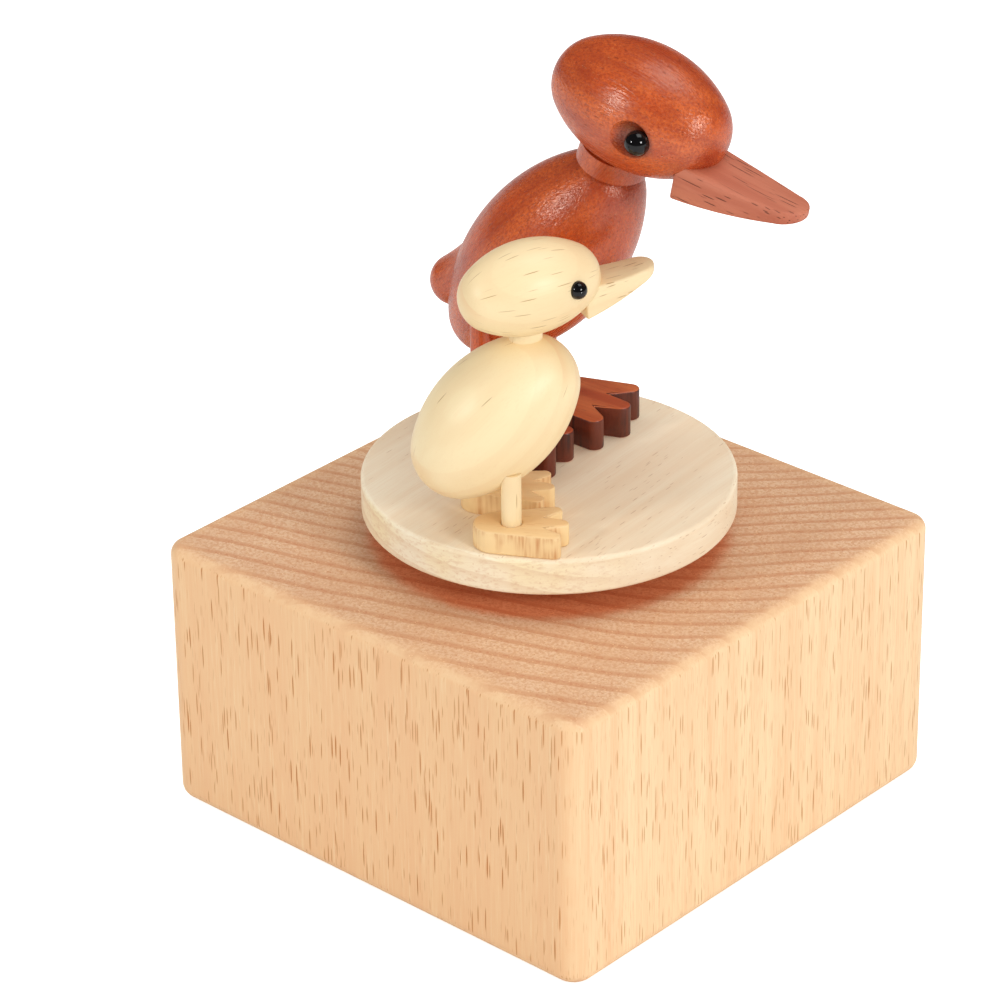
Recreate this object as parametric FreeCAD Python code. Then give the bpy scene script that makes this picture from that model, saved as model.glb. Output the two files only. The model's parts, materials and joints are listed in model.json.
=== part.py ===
"""Wooden music box: a hollow beech block with a clockwork inside and a turning disc with two ducks on top.

Millimetres. The origin is the centre of the block's bottom face.
+Z points up and the block's sides face X and Y.
"""

import FreeCAD
import Part
import math
import os

Vector = FreeCAD.Vector
UP = Vector(0, 0, 1)
ORIGIN = Vector(0, 0, 0)

# Wooden block
block_side = 64.6
block_height = 34.6
block_upright_edge_radius = 2.8
block_top_edge_radius = 1.4
block_bottom_edge_radius = 1.8
corner_boss_radius = 7.0
corner_boss_screw_inset = 3.3

# Bottom plate and its screws
plate_ledge = 1.4
plate_thickness = 2.5
plate_recess = 0.3
plate_clearance = 0.2
plate_corner_radius = 4.0
sound_hole_diameter = 4.0
sound_hole_count = 8
sound_hole_circle = 30.0
plate_screw_diameter = 2.6
plate_screw_head = 5.2
plate_screw_length = 11.0

# Screw slots
slot_width = 0.6
slot_depth_share = 0.45

# Fits
running_clearance = 0.05
glue_gap = 0.02
screw_clearance = 0.05
end_play = 0.1
cut_margin = 1.0

# Cast frame of the clockwork
frame_left = 21.0
frame_right = 21.0
frame_front = 21.5
frame_back = 24.8
frame_thickness = 1.9
frame_corner_radius = 6.0
frame_room_in_pocket = 1.7
frame_screw_diameter = 2.2
frame_screw_head = 4.2
frame_screw_head_height = 1.4
frame_screw_length = 4.8
frame_screw_places = [(-17.5, -13.5), (17.0, -13.5), (17.0, 15.0), (-18.4, 9.0)]

# Spring barrel, mainspring and winding arbor
barrel_radius = 11.5
barrel_wall = 0.6
barrel_height = 6.6
barrel_flange_width = 1.5
rivet_diameter = 0.9
rivet_head_diameter = 1.44
rivet_head_height = 0.4
rivet_count = 3
arbor_radius = 1.5
arbor_core_radius = 2.6
arbor_tail = 0.85
arbor_reach_into_disc = 1.4
mainspring_thickness = 0.35
mainspring_pitch = 1.0
mainspring_side_play = 0.3
ring_groove_depth = 0.35
ring_thickness = 0.4
ring_radius = 2.6
ring_opening_share = 0.8

# Crown wheel and the spring clutch that takes it along
coarse_module = 0.6
crown_teeth = 35
crown_face = 1.8
crown_plate = 1.2
crown_window_count = 5
crown_window_diameter = 4.4
clutch_wire = 0.32
clutch_turns = 2.0
clutch_pitch = 0.42
clutch_clearance = 0.218

# Pinned cylinder
cylinder_teeth = 25
cylinder_gear_width = 1.5
cylinder_radius = 6.0
cylinder_wall = 0.7
cylinder_gap_to_gear = 0.95
cylinder_cap_thickness = 0.8
cylinder_arbor_radius = 0.9
pin_radius = 0.2
pin_height = 0.5
pin_root_depth = 0.4
pins_per_track = 4
gear_clearance_above_plate = 0.6

# Steel comb
comb_tooth_count = 18
comb_tooth_pitch = 1.05
comb_slot = 0.2
comb_tooth_thickness = 0.5
comb_base_thickness = 1.1
comb_bass_length = 9.0
comb_treble_length = 6.0
comb_depth = 14.4
comb_tip_clearance = 0.1
comb_seat_depth = 5.0
comb_weight_count = 6
comb_weight_height = 0.9
comb_weight_length = 1.2
comb_screw_diameter = 2.0
comb_screw_head = 3.8
comb_screw_head_height = 1.1
comb_screw_length = 5.0
comb_screw_inset = 2.6
comb_screw_side_inset = 4.5

# Bearings of the cylinder
lug_width = 8.0
lug_thickness = 1.8
lug_below_axis = 2.6
lug_beside_governor = 2.0
bracket_thickness = 1.5
bracket_foot = 5.2
bracket_gap = 1.0
bracket_clearance = 0.4
bracket_screw_diameter = 2.0
bracket_screw_head = 3.6
bracket_screw_head_height = 1.0
bracket_screw_length = 3.0

# Teeth of all wheels
tooth_share = 0.40
pressure_angle = math.radians(20.0)

# Governor train
fine_module = 0.4
pinion_leaves = 8
governor_wheel_teeth = 36
worm_wheel_teeth = 24
second_arbor_angle = 50.0
governor_wheel_thickness = 0.8
governor_wheel_gap = 0.95
pinion_overhang = 0.3
governor_arbor_radius = 0.7
pivot_radius = 0.4
pivot_length = 0.8
worm_wheel_place = -8.0
worm_wheel_thickness = 1.0
worm_radius = 1.6
worm_turns = 6.0
worm_shaft_radius = 0.6
worm_thread_root = 0.15
fly_radius = 3.8
fly_height = 6.0
fly_thickness = 0.35
fly_hub_radius = 1.1
fly_above_bridge = 1.4

# Governor frame
governor_left = 16.6
governor_right = 2.4
governor_plate = 1.0
governor_back = 24.6
governor_flange_front = 14.2
governor_bridge_depth = 5.2
governor_bottom = 3.6
governor_nose_gap = 0.9
governor_nose_half_height = 3.5
governor_shoulder_run = 5.6
governor_shoulder_rise = 2.5
governor_flange_rise = 7.0
governor_screw_diameter = 1.6
governor_screw_head = 3.2
governor_screw_head_height = 1.0
governor_screw_length = 2.6
governor_screw_places = [(-13.2, 18.0), (-5.6, 17.2)]

# Turning disc and the square post under it
disc_radius = 22.0
disc_thickness = 4.6
disc_edge_radius = 0.5
disc_gap = 3.4
post_side = 4.4
post_above_frame = 2.2
post_depth_in_disc = 2.9
post_bore_clearance = 0.39

# Mother duck
mother_stance_x = -9.5
mother_stance_y = 4.6
mother_stance_yaw_angle = 0.0
mother_leg_spacing = 11.3
mother_foot_thickness = 3.9
mother_foot_heel = 4.2
mother_foot_length = 15.5
mother_foot_width = 11.1
mother_toe_radius = 1.15
mother_heel_radius = 3.6
mother_right_foot_yaw_angle = -1.0
mother_left_foot_yaw_angle = 12.0
mother_leg_radius = 1.3
mother_body_height = 24.25
mother_body_shift_x = 4.0
mother_body_shift_y = 1.3
mother_body_yaw_angle = 7.7
mother_body_pitch_angle = 51.4
mother_body_half_length = 17.45
mother_body_radius = 8.75
mother_tail_pitch_angle = -28.0
mother_tail_reach = 17.6
mother_tail_root = 4.0
mother_tail_root_radius = 7.2
mother_tail_tip_radius = 3.1
mother_tail_flare_angle = 9.0
mother_neck_yaw_angle = 1.1
mother_neck_pitch_angle = 70.8
mother_neck_gap = 0.6
mother_collar_radius = 4.2
mother_head_yaw_angle = 4.2
mother_head_pitch_angle = -11.6
mother_head_half_length = 11.4
mother_head_radius = 7.35
mother_eye_radius = 1.45
mother_eye_forward = 4.4
mother_eye_angle = -1.0
mother_eye_recess_radius = 3.0
mother_eye_recess_back = 0.6
mother_bill_reach = 23.4
mother_bill_root = 8.0
mother_bill_drop = 2.1
mother_bill_root_width = 7.6
mother_bill_waist_width = 6.8
mother_bill_tip_width = 5.0
mother_bill_root_thickness = 4.6
mother_bill_tip_thickness = 1.3

# Duckling
duckling_stance_x = 5.1
duckling_stance_y = -13.3
duckling_stance_yaw_angle = 51.0
duckling_leg_spacing = 9.4
duckling_foot_thickness = 2.8
duckling_foot_heel = 4.4
duckling_foot_length = 10.9
duckling_foot_width = 7.8
duckling_toe_radius = 0.85
duckling_heel_radius = 2.6
duckling_right_foot_yaw_angle = 40.0
duckling_left_foot_yaw_angle = 34.0
duckling_leg_radius = 1.15
duckling_body_height = 13.7
duckling_body_shift_x = -1.03
duckling_body_shift_y = -0.34
duckling_body_yaw_angle = 48.8
duckling_body_pitch_angle = 44.7
duckling_body_half_length = 11.25
duckling_body_radius = 7.4
duckling_neck_yaw_angle = 153.0
duckling_neck_pitch_angle = 85.2
duckling_neck_gap = 0.4
duckling_collar_radius = 1.9
duckling_head_yaw_angle = 66.0
duckling_head_pitch_angle = 4.7
duckling_head_half_length = 8.45
duckling_head_radius = 5.4
duckling_eye_radius = 1.05
duckling_eye_forward = 3.9
duckling_eye_angle = 6.0
duckling_bill_reach = 15.2
duckling_bill_root = 5.6
duckling_bill_drop = 0.8
duckling_bill_root_width = 5.4
duckling_bill_waist_width = 4.8
duckling_bill_tip_width = 4.0
duckling_bill_root_thickness = 4.0
duckling_bill_tip_thickness = 1.0

# Shape and joinery of both ducks
egg_end_roundness = 1.18
leg_seat = 1.0
leg_end_below_body_centre = 4.6
neck_dowel_radius = 1.0
neck_dowel_depth = 4.0
collar_seat = 0.9
eye_sink_share = 0.05
eye_recess_lift_share = 1.25
bill_waist_place = 0.45
bill_top_hollow = 0.25
bill_belly_swell = 0.3
side_toe_setback_share = 0.27

# Heights that several pieces share
plate_top_z = plate_recess + plate_thickness
disc_bottom_z = block_height + disc_gap
disc_top_z = disc_bottom_z + disc_thickness

# Places that follow from the wheels
crown_radius = crown_teeth * coarse_module / 2
cylinder_pitch_radius = cylinder_teeth * coarse_module / 2
coarse_addendum = 0.92 * coarse_module
coarse_dedendum = 1.25 * coarse_module
fine_addendum = 0.9 * fine_module
fine_dedendum = 1.25 * fine_module
axis_z = plate_top_z + gear_clearance_above_plate + cylinder_pitch_radius + coarse_addendum
crown_pitch_z = axis_z + cylinder_pitch_radius
crown_plate_z = crown_pitch_z + coarse_dedendum
crown_top_z = crown_plate_z + crown_plate
clutch_height = clutch_turns * clutch_pitch + clutch_wire + glue_gap
barrel_floor_z = crown_top_z + clutch_height + clutch_clearance
frame_bottom_z = barrel_floor_z + barrel_height
ceiling_z = frame_bottom_z + frame_thickness
gear_x = -crown_radius
gear_left_x = gear_x - cylinder_gear_width / 2
cylinder_left_x = gear_x + cylinder_gear_width / 2 + cylinder_gap_to_gear
bracket_x = barrel_radius + barrel_flange_width + bracket_clearance
cylinder_right_x = bracket_x - bracket_gap
cylinder_length = cylinder_right_x - cylinder_left_x
first_track_x = cylinder_left_x + (cylinder_length - (comb_tooth_count - 1) * comb_tooth_pitch) / 2
pin_reach = cylinder_radius + pin_height
pinion_coarse_radius = pinion_leaves * coarse_module / 2
pinion_fine_radius = pinion_leaves * fine_module / 2
governor_wheel_radius = governor_wheel_teeth * fine_module / 2
worm_wheel_radius = worm_wheel_teeth * fine_module / 2
governor_wheel_x = gear_left_x - governor_wheel_gap - governor_wheel_thickness
first_arbor_y = cylinder_pitch_radius + pinion_coarse_radius
first_arbor_z = axis_z
fine_centres = governor_wheel_radius + pinion_fine_radius
second_arbor_y = first_arbor_y + fine_centres * math.cos(math.radians(second_arbor_angle))
second_arbor_z = first_arbor_z + fine_centres * math.sin(math.radians(second_arbor_angle))
worm_y = second_arbor_y + worm_wheel_radius + worm_radius
governor_plate_left_x = -governor_left
governor_plate_right_x = -governor_right - governor_plate


def cylinder(radius, height, x=0.0, y=0.0, z=0.0):
    return Part.makeCylinder(radius, height, Vector(x, y, z))


def cylinder_x(radius, length, x, y, z):
    return Part.makeCylinder(radius, length, Vector(x, y, z), Vector(1, 0, 0))


def box(x0, x1, y0, y1, z0, z1):
    return Part.makeBox(x1 - x0, y1 - y0, z1 - z0, Vector(x0, y0, z0))


def rod(radius, start, end):
    return Part.makeCylinder(radius, (end - start).Length, start, end - start)


def prism(points, z0, z1):
    """Straight prism over a flat outline given as (x, y) points."""
    corners = [Vector(x, y, z0) for x, y in points]
    face = Part.Face(Part.makePolygon(corners + corners[:1]))
    return face.extrude(Vector(0, 0, z1 - z0))


def rounded_plate(x0, x1, y0, y1, z0, z1, radius):
    """Flat plate whose four upright corners are round."""
    plate = box(x0, x1, y0, y1, z0, z1)
    upright = [edge for edge in plate.Edges if abs(edge.tangentAt(edge.FirstParameter).z) > 0.5]
    return plate.makeFillet(radius, upright)


def direction(yaw, pitch):
    """Unit vector for a heading in the XY plane and a rise above it, both in degrees."""
    level = math.cos(math.radians(pitch))
    turn = math.radians(yaw)
    return Vector(level * math.cos(turn), level * math.sin(turn), math.sin(math.radians(pitch)))


def lay_along_x(shape, x, y, z):
    """Turn a wheel drawn about Z so that it turns about X, with its X towards Y, and put it in place."""
    turned = shape.copy()
    turned.Placement = FreeCAD.Placement(Vector(x, y, z), FreeCAD.Rotation(Vector(1, 1, 1), 120))
    return turned


def screw_from_below(x, y, seat_z, diameter, length, head, head_height):
    """Slotted pan-head screw that points up, its head under the height seat_z."""
    shank = cylinder(diameter / 2, length, x, y, seat_z)
    cap = cylinder(head / 2, head_height, x, y, seat_z - head_height)
    slot_depth = slot_depth_share * head_height
    bottom = seat_z - head_height
    slot = box(x - head, x + head, y - slot_width / 2, y + slot_width / 2, bottom, bottom + slot_depth)
    return shank.fuse(cap).cut(slot).removeSplitter()


def screw_hole(x, y, z0, z1, diameter):
    return cylinder(diameter / 2 + screw_clearance, z1 - z0, x, y, z0)


def corner_places(distance):
    return [(sx * distance, sy * distance) for sx in (-1, 1) for sy in (-1, 1)]


# Gears: the teeth are thinner than half a pitch, which leaves the play of clockwork wheels

def involute_half_angle(radius, pitch_radius, half_thickness):
    """Half the angle that a tooth takes up at a radius, for a flank that unwinds from the base circle."""
    base = pitch_radius * math.cos(pressure_angle)

    def unwind(at_radius):
        angle = math.acos(min(1.0, base / at_radius))
        return math.tan(angle) - angle

    return half_thickness / pitch_radius + unwind(pitch_radius) - unwind(max(radius, base))


def gear_outline(teeth, module, addendum, dedendum, first_tooth):
    """Closed face of a toothed wheel about the origin, one tooth centred at first_tooth degrees."""
    pitch_radius = teeth * module / 2
    half_thickness = tooth_share * math.pi * module / 2
    tip = pitch_radius + addendum
    root = pitch_radius - dedendum
    middle = (root + tip) / 2
    edges = []

    def at(radius, angle):
        return Vector(radius * math.cos(angle), radius * math.sin(angle), 0)

    step = 2 * math.pi / teeth
    for index in range(teeth):
        centre = math.radians(first_tooth) + index * step
        low = involute_half_angle(root, pitch_radius, half_thickness)
        mid = involute_half_angle(middle, pitch_radius, half_thickness)
        top = involute_half_angle(tip, pitch_radius, half_thickness)
        rise = [at(root, centre - low), at(middle, centre - mid), at(tip, centre - top)]
        fall = [at(tip, centre + top), at(middle, centre + mid), at(root, centre + low)]
        edges.append(Part.Arc(*rise).toShape())
        edges.append(Part.Arc(rise[-1], at(tip, centre), fall[0]).toShape())
        edges.append(Part.Arc(*fall).toShape())
        next_root = at(root, centre + step - low)
        edges.append(Part.Arc(fall[-1], at(root, centre + step / 2), next_root).toShape())
    return Part.Face(Part.Wire(edges))


def gear(teeth, module, addendum, dedendum, first_tooth, thickness):
    outline = gear_outline(teeth, module, addendum, dedendum, first_tooth)
    return outline.extrude(Vector(0, 0, thickness))


def meshing_tooth(driver_teeth, driver_tooth, towards, teeth):
    """Angle of a tooth of the second wheel, so that it meshes with the first at the direction towards."""
    return towards + 180.0 + 180.0 / teeth + (towards - driver_tooth) * driver_teeth / teeth


cylinder_gear_tooth = 90.0 + 180.0 / cylinder_teeth
first_pinion_tooth = meshing_tooth(cylinder_teeth, cylinder_gear_tooth, 0.0, pinion_leaves)
second_pinion_tooth = meshing_tooth(governor_wheel_teeth, 0.0, second_arbor_angle, pinion_leaves)
worm_wheel_tooth = 180.0 / worm_wheel_teeth


# Block and its bottom plate

pocket_half = frame_back + frame_room_in_pocket
recess_half = pocket_half + plate_ledge
boss_screw_place = pocket_half - corner_boss_screw_inset
plate_screw_head_depth = (plate_screw_head - plate_screw_diameter) / 2
post_bore_radius = post_side / math.sqrt(2) + post_bore_clearance


def wood_block():
    half = block_side / 2
    block = box(-half, half, -half, half, 0, block_height)
    upright = [edge for edge in block.Edges if edge.BoundBox.ZLength > cut_margin]
    block = block.makeFillet(block_upright_edge_radius, upright)
    upper = [edge for edge in block.Edges if edge.BoundBox.ZMin > block_height - cut_margin]
    block = block.makeFillet(block_top_edge_radius, upper)
    lower = [edge for edge in block.Edges if edge.BoundBox.ZMax < cut_margin]
    block = block.makeFillet(block_bottom_edge_radius, lower)
    recess = rounded_plate(-recess_half, recess_half, -recess_half, recess_half,
                           -cut_margin, plate_top_z, plate_corner_radius)
    pocket = box(-pocket_half, pocket_half, -pocket_half, pocket_half, plate_top_z / 2, ceiling_z)
    for x, y in corner_places(pocket_half):
        pocket = pocket.cut(cylinder(corner_boss_radius, ceiling_z, x, y, plate_top_z))
    block = block.cut(recess).cut(pocket)
    block = block.cut(cylinder(post_bore_radius, block_height, 0, 0, ceiling_z - cut_margin))
    for x, y in corner_places(boss_screw_place):
        tip_z = plate_recess + plate_screw_length
        block = block.cut(screw_hole(x, y, 0, tip_z + screw_clearance, plate_screw_diameter))
    for x, y in frame_screw_places:
        tip_z = frame_bottom_z + frame_screw_length
        block = block.cut(screw_hole(x, y, frame_bottom_z, tip_z + screw_clearance, frame_screw_diameter))
    return block


def bottom_plate():
    half = recess_half - plate_clearance
    plate = rounded_plate(-half, half, -half, half, plate_recess, plate_top_z,
                          plate_corner_radius - plate_clearance)
    for index in range(sound_hole_count):
        turn = 2 * math.pi * index / sound_hole_count
        x = sound_hole_circle / 2 * math.cos(turn)
        y = sound_hole_circle / 2 * math.sin(turn)
        plate = plate.cut(cylinder(sound_hole_diameter / 2, plate_top_z + cut_margin, x, y, 0))
    for x, y in corner_places(boss_screw_place):
        plate = plate.cut(screw_hole(x, y, 0, plate_top_z + cut_margin, plate_screw_diameter))
        wide = plate_screw_head / 2 + screw_clearance
        narrow = plate_screw_diameter / 2 + screw_clearance
        sink = Part.makeCone(wide, narrow, plate_screw_head_depth, Vector(x, y, plate_recess))
        plate = plate.cut(sink)
    return plate


def bottom_plate_screws():
    screws = []
    for x, y in corner_places(boss_screw_place):
        shank = cylinder(plate_screw_diameter / 2, plate_screw_length, x, y, plate_recess)
        head = Part.makeCone(plate_screw_head / 2, plate_screw_diameter / 2, plate_screw_head_depth,
                             Vector(x, y, plate_recess))
        slot = box(x - plate_screw_head, x + plate_screw_head, y - slot_width / 2, y + slot_width / 2,
                   plate_recess, plate_recess + slot_depth_share * plate_screw_head_depth)
        screws.append(shank.fuse(head).cut(slot).removeSplitter())
    return Part.makeCompound(screws)


# Clockwork frame

comb_left_x = first_track_x - comb_tooth_pitch
comb_right_x = first_track_x + comb_tooth_count * comb_tooth_pitch
comb_tip_y = -pin_reach - comb_tip_clearance
comb_back_y = comb_tip_y - comb_depth
comb_bottom_z = axis_z - comb_tooth_thickness / 2
comb_seat_z = comb_bottom_z + comb_base_thickness
comb_screw_y = comb_back_y + comb_screw_inset
comb_screw_xs = [comb_left_x + comb_screw_side_inset, comb_right_x - comb_screw_side_inset]
lug_right_x = governor_plate_left_x + lug_beside_governor
lug_left_x = lug_right_x - lug_thickness
bracket_screw_x = bracket_x + bracket_thickness + bracket_foot / 2
arbor_bore_radius = arbor_radius + running_clearance
cylinder_bore_radius = cylinder_arbor_radius + running_clearance


def rivet_places():
    circle = barrel_radius + barrel_flange_width / 2
    turns = [math.radians(30 + 360 * index / rivet_count) for index in range(rivet_count)]
    return [(circle * math.cos(turn), circle * math.sin(turn)) for turn in turns]


def movement_frame():
    frame = rounded_plate(-frame_left, frame_right, -frame_front, frame_back,
                          frame_bottom_z, ceiling_z, frame_corner_radius)
    seat_front_y = comb_back_y + comb_seat_depth
    seat = box(comb_left_x, comb_right_x, comb_back_y, seat_front_y, comb_seat_z, ceiling_z)
    lug = box(lug_left_x, lug_right_x, -lug_width / 2, lug_width / 2, axis_z - lug_below_axis, ceiling_z)
    frame = frame.fuse([seat, lug]).removeSplitter()
    frame = frame.cut(cylinder(arbor_bore_radius, block_height, 0, 0, 0))
    bore_left_x = lug_left_x - cut_margin / 2
    frame = frame.cut(cylinder_x(cylinder_bore_radius, lug_thickness + cut_margin, bore_left_x, 0, axis_z))
    for x, y in frame_screw_places:
        frame = frame.cut(screw_hole(x, y, frame_bottom_z - cut_margin, ceiling_z + cut_margin,
                                     frame_screw_diameter))
    for x in comb_screw_xs:
        tip_z = comb_bottom_z + comb_screw_length + screw_clearance
        frame = frame.cut(screw_hole(x, comb_screw_y, 0, tip_z, comb_screw_diameter))
    for x, y in governor_screw_places:
        frame = frame.cut(screw_hole(x, y, 0, ceiling_z + cut_margin, governor_screw_diameter))
    frame = frame.cut(screw_hole(bracket_screw_x, 0, 0, ceiling_z + cut_margin, bracket_screw_diameter))
    for x, y in rivet_places():
        frame = frame.cut(cylinder(rivet_diameter / 2 + glue_gap, frame_thickness + 2 * cut_margin,
                                   x, y, frame_bottom_z - cut_margin))
    return frame


def frame_screws():
    return Part.makeCompound([
        screw_from_below(x, y, frame_bottom_z, frame_screw_diameter, frame_screw_length,
                         frame_screw_head, frame_screw_head_height)
        for x, y in frame_screw_places
    ])


def spring_barrel():
    """Drawn steel cup, open towards the frame, with a flange for its rivets."""
    cup = cylinder(barrel_radius, barrel_height, 0, 0, barrel_floor_z)
    flange = cylinder(barrel_radius + barrel_flange_width, barrel_wall, 0, 0, frame_bottom_z - barrel_wall)
    cup = cup.fuse(flange).removeSplitter()
    cup = cup.cut(cylinder(barrel_radius - barrel_wall, barrel_height, 0, 0, barrel_floor_z + barrel_wall))
    cup = cup.cut(cylinder(arbor_bore_radius, barrel_height, 0, 0, barrel_floor_z - cut_margin))
    for x, y in rivet_places():
        cup = cup.cut(cylinder(rivet_diameter / 2 + glue_gap, barrel_height, x, y, barrel_floor_z))
    return cup


def barrel_rivets():
    rivets = []
    for x, y in rivet_places():
        head_z = frame_bottom_z - barrel_wall - rivet_head_height
        shank = cylinder(rivet_diameter / 2, ceiling_z - head_z, x, y, head_z)
        head = cylinder(rivet_head_diameter / 2, rivet_head_height, x, y, head_z)
        rivets.append(shank.fuse(head).removeSplitter())
    return Part.makeCompound(rivets)


def mainspring():
    """Flat coiled strip between the arbor's core and the barrel's wall, as half turns of growing radius."""
    inner = arbor_core_radius + mainspring_pitch / 4
    outer_limit = barrel_radius - barrel_wall - mainspring_thickness - end_play
    half_turns = int(2 * (outer_limit - inner) / mainspring_pitch)
    inside = []
    outside = []
    for index in range(half_turns):
        radius = inner + index * mainspring_pitch / 2
        side = 1 if index % 2 == 0 else -1
        centre_x = 0.0 if index % 2 == 0 else mainspring_pitch / 2
        for edges, reach in ((inside, radius), (outside, radius + mainspring_thickness)):
            start = Vector(centre_x + side * reach, 0, 0)
            middle = Vector(centre_x, side * reach, 0)
            end = Vector(centre_x - side * reach, 0, 0)
            edges.append(Part.Arc(start, middle, end).toShape())
    first = Part.makeLine(inside[0].valueAt(inside[0].FirstParameter),
                          outside[0].valueAt(outside[0].FirstParameter))
    last = Part.makeLine(inside[-1].valueAt(inside[-1].LastParameter),
                         outside[-1].valueAt(outside[-1].LastParameter))
    face = Part.Face(Part.Wire(Part.__sortEdges__(inside + [last] + outside + [first])))
    low_z = barrel_floor_z + barrel_wall + mainspring_side_play
    height = barrel_height - barrel_wall - 2 * mainspring_side_play
    face.translate(Vector(0, 0, low_z))
    return face.extrude(Vector(0, 0, height))


# Winding arbor, which the turning disc sits on

ring_z = crown_plate_z - end_play - ring_thickness
arbor_bottom_z = ring_z - arbor_tail + ring_thickness
arbor_top_z = disc_bottom_z + arbor_reach_into_disc
core_bottom_z = barrel_floor_z + barrel_wall + end_play
core_top_z = frame_bottom_z - end_play
groove_radius = arbor_radius - ring_groove_depth


def winding_arbor():
    arbor = cylinder(arbor_radius, arbor_top_z - arbor_bottom_z, 0, 0, arbor_bottom_z)
    core = cylinder(arbor_core_radius, core_top_z - core_bottom_z, 0, 0, core_bottom_z)
    arbor = arbor.fuse(core).removeSplitter()
    groove = cylinder(arbor_radius + cut_margin, ring_thickness, 0, 0, ring_z)
    groove = groove.cut(cylinder(groove_radius, ring_thickness, 0, 0, ring_z))
    return arbor.cut(groove)


def arbor_ring():
    """Open retaining ring in the arbor's groove, under the crown wheel."""
    ring = cylinder(ring_radius, ring_thickness, 0, 0, ring_z)
    ring = ring.cut(cylinder(groove_radius + glue_gap, ring_thickness, 0, 0, ring_z))
    opening = groove_radius * ring_opening_share
    return ring.cut(box(0, ring_radius + cut_margin, -opening, opening,
                        ring_z - cut_margin, ring_z + ring_thickness + cut_margin))


def crown_wheel():
    """Wheel under the barrel whose teeth point down on to the cylinder's gear."""
    inner = crown_radius - crown_face / 2
    outer = crown_radius + crown_face / 2
    wheel = cylinder(outer, crown_plate, 0, 0, crown_plate_z)
    pitch = math.pi * coarse_module
    half_at_pitch = tooth_share * pitch / 2
    slope = math.tan(pressure_angle)
    half_tip = half_at_pitch - coarse_addendum * slope
    half_root = half_at_pitch + coarse_dedendum * slope
    sunk = crown_plate / 4
    tip_z = crown_pitch_z - coarse_addendum
    root_z = crown_plate_z + sunk
    corners = [(-half_tip, tip_z), (half_tip, tip_z), (half_root, crown_plate_z),
               (half_root, root_z), (-half_root, root_z), (-half_root, crown_plate_z)]
    points = [Vector(inner, y, z) for y, z in corners]
    tooth = Part.Face(Part.makePolygon(points + points[:1])).extrude(Vector(crown_face, 0, 0))
    limit = cylinder(outer, crown_plate_z + crown_plate - tip_z + cut_margin, 0, 0, tip_z - cut_margin / 2)
    tooth = tooth.common(limit)
    teeth = []
    for index in range(crown_teeth):
        copy = tooth.copy()
        copy.rotate(ORIGIN, UP, 180.0 + 360.0 * index / crown_teeth)
        teeth.append(copy)
    wheel = wheel.fuse(teeth).removeSplitter()
    wheel = wheel.cut(cylinder(arbor_bore_radius, block_height, 0, 0, 0))
    window_circle = (inner + arbor_core_radius) / 2
    for index in range(crown_window_count):
        turn = 2 * math.pi * index / crown_window_count
        x = window_circle * math.cos(turn)
        y = window_circle * math.sin(turn)
        wheel = wheel.cut(cylinder(crown_window_diameter / 2, block_height, x, y, 0))
    return wheel


def clutch_spring():
    """Wire coil that grips the arbor in one direction only and takes the crown wheel along."""
    coil_radius = arbor_bore_radius + clutch_wire / 2
    helix = Part.makeHelix(clutch_pitch, clutch_pitch * clutch_turns, coil_radius)
    section = Part.Wire(Part.makeCircle(clutch_wire / 2, Vector(coil_radius, 0, 0), Vector(0, 1, 0)))
    coil = Part.Wire(helix.Edges).makePipeShell([section], True, True)
    coil.translate(Vector(0, 0, crown_top_z + clutch_wire / 2 + glue_gap))
    return coil


# Pinned cylinder

def music_cylinder():
    """Brass tube with four pins for each tooth of the comb, spread evenly and in no tune."""
    tube = cylinder_x(cylinder_radius, cylinder_length, cylinder_left_x, 0, axis_z)
    pins = []
    golden = (math.sqrt(5) - 1) / 2
    for track in range(comb_tooth_count):
        for repeat in range(pins_per_track):
            turn = 2 * math.pi * ((track * pins_per_track + repeat) * golden % 1.0)
            outward = Vector(0, math.cos(turn), math.sin(turn))
            foot = Vector(first_track_x + track * comb_tooth_pitch, 0, axis_z)
            foot = foot + outward * (cylinder_radius - pin_root_depth)
            pins.append(Part.makeCylinder(pin_radius, pin_height + pin_root_depth, foot, outward))
    tube = tube.fuse(pins)
    bore = cylinder_x(cylinder_radius - cylinder_wall, cylinder_length, cylinder_left_x, 0, axis_z)
    return tube.cut(bore)


def cylinder_caps():
    caps = []
    for x in (cylinder_left_x, cylinder_right_x - cylinder_cap_thickness):
        cap = cylinder_x(cylinder_radius - cylinder_wall - glue_gap, cylinder_cap_thickness, x, 0, axis_z)
        bore = cylinder_x(cylinder_arbor_radius + glue_gap, cylinder_cap_thickness, x, 0, axis_z)
        caps.append(cap.cut(bore))
    return Part.makeCompound(caps)


def cylinder_arbor():
    start = lug_left_x + end_play
    end = bracket_x + bracket_thickness - end_play
    return cylinder_x(cylinder_arbor_radius, end - start, start, 0, axis_z)


def cylinder_gear():
    wheel = gear(cylinder_teeth, coarse_module, coarse_addendum, coarse_dedendum,
                 cylinder_gear_tooth, cylinder_gear_width)
    hub = cylinder(2 * cylinder_arbor_radius, cylinder_gear_width + cylinder_gap_to_gear)
    wheel = wheel.fuse(hub).removeSplitter()
    wheel = wheel.cut(cylinder(cylinder_arbor_radius + glue_gap, block_height))
    return lay_along_x(wheel, gear_left_x, 0, axis_z)


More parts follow.
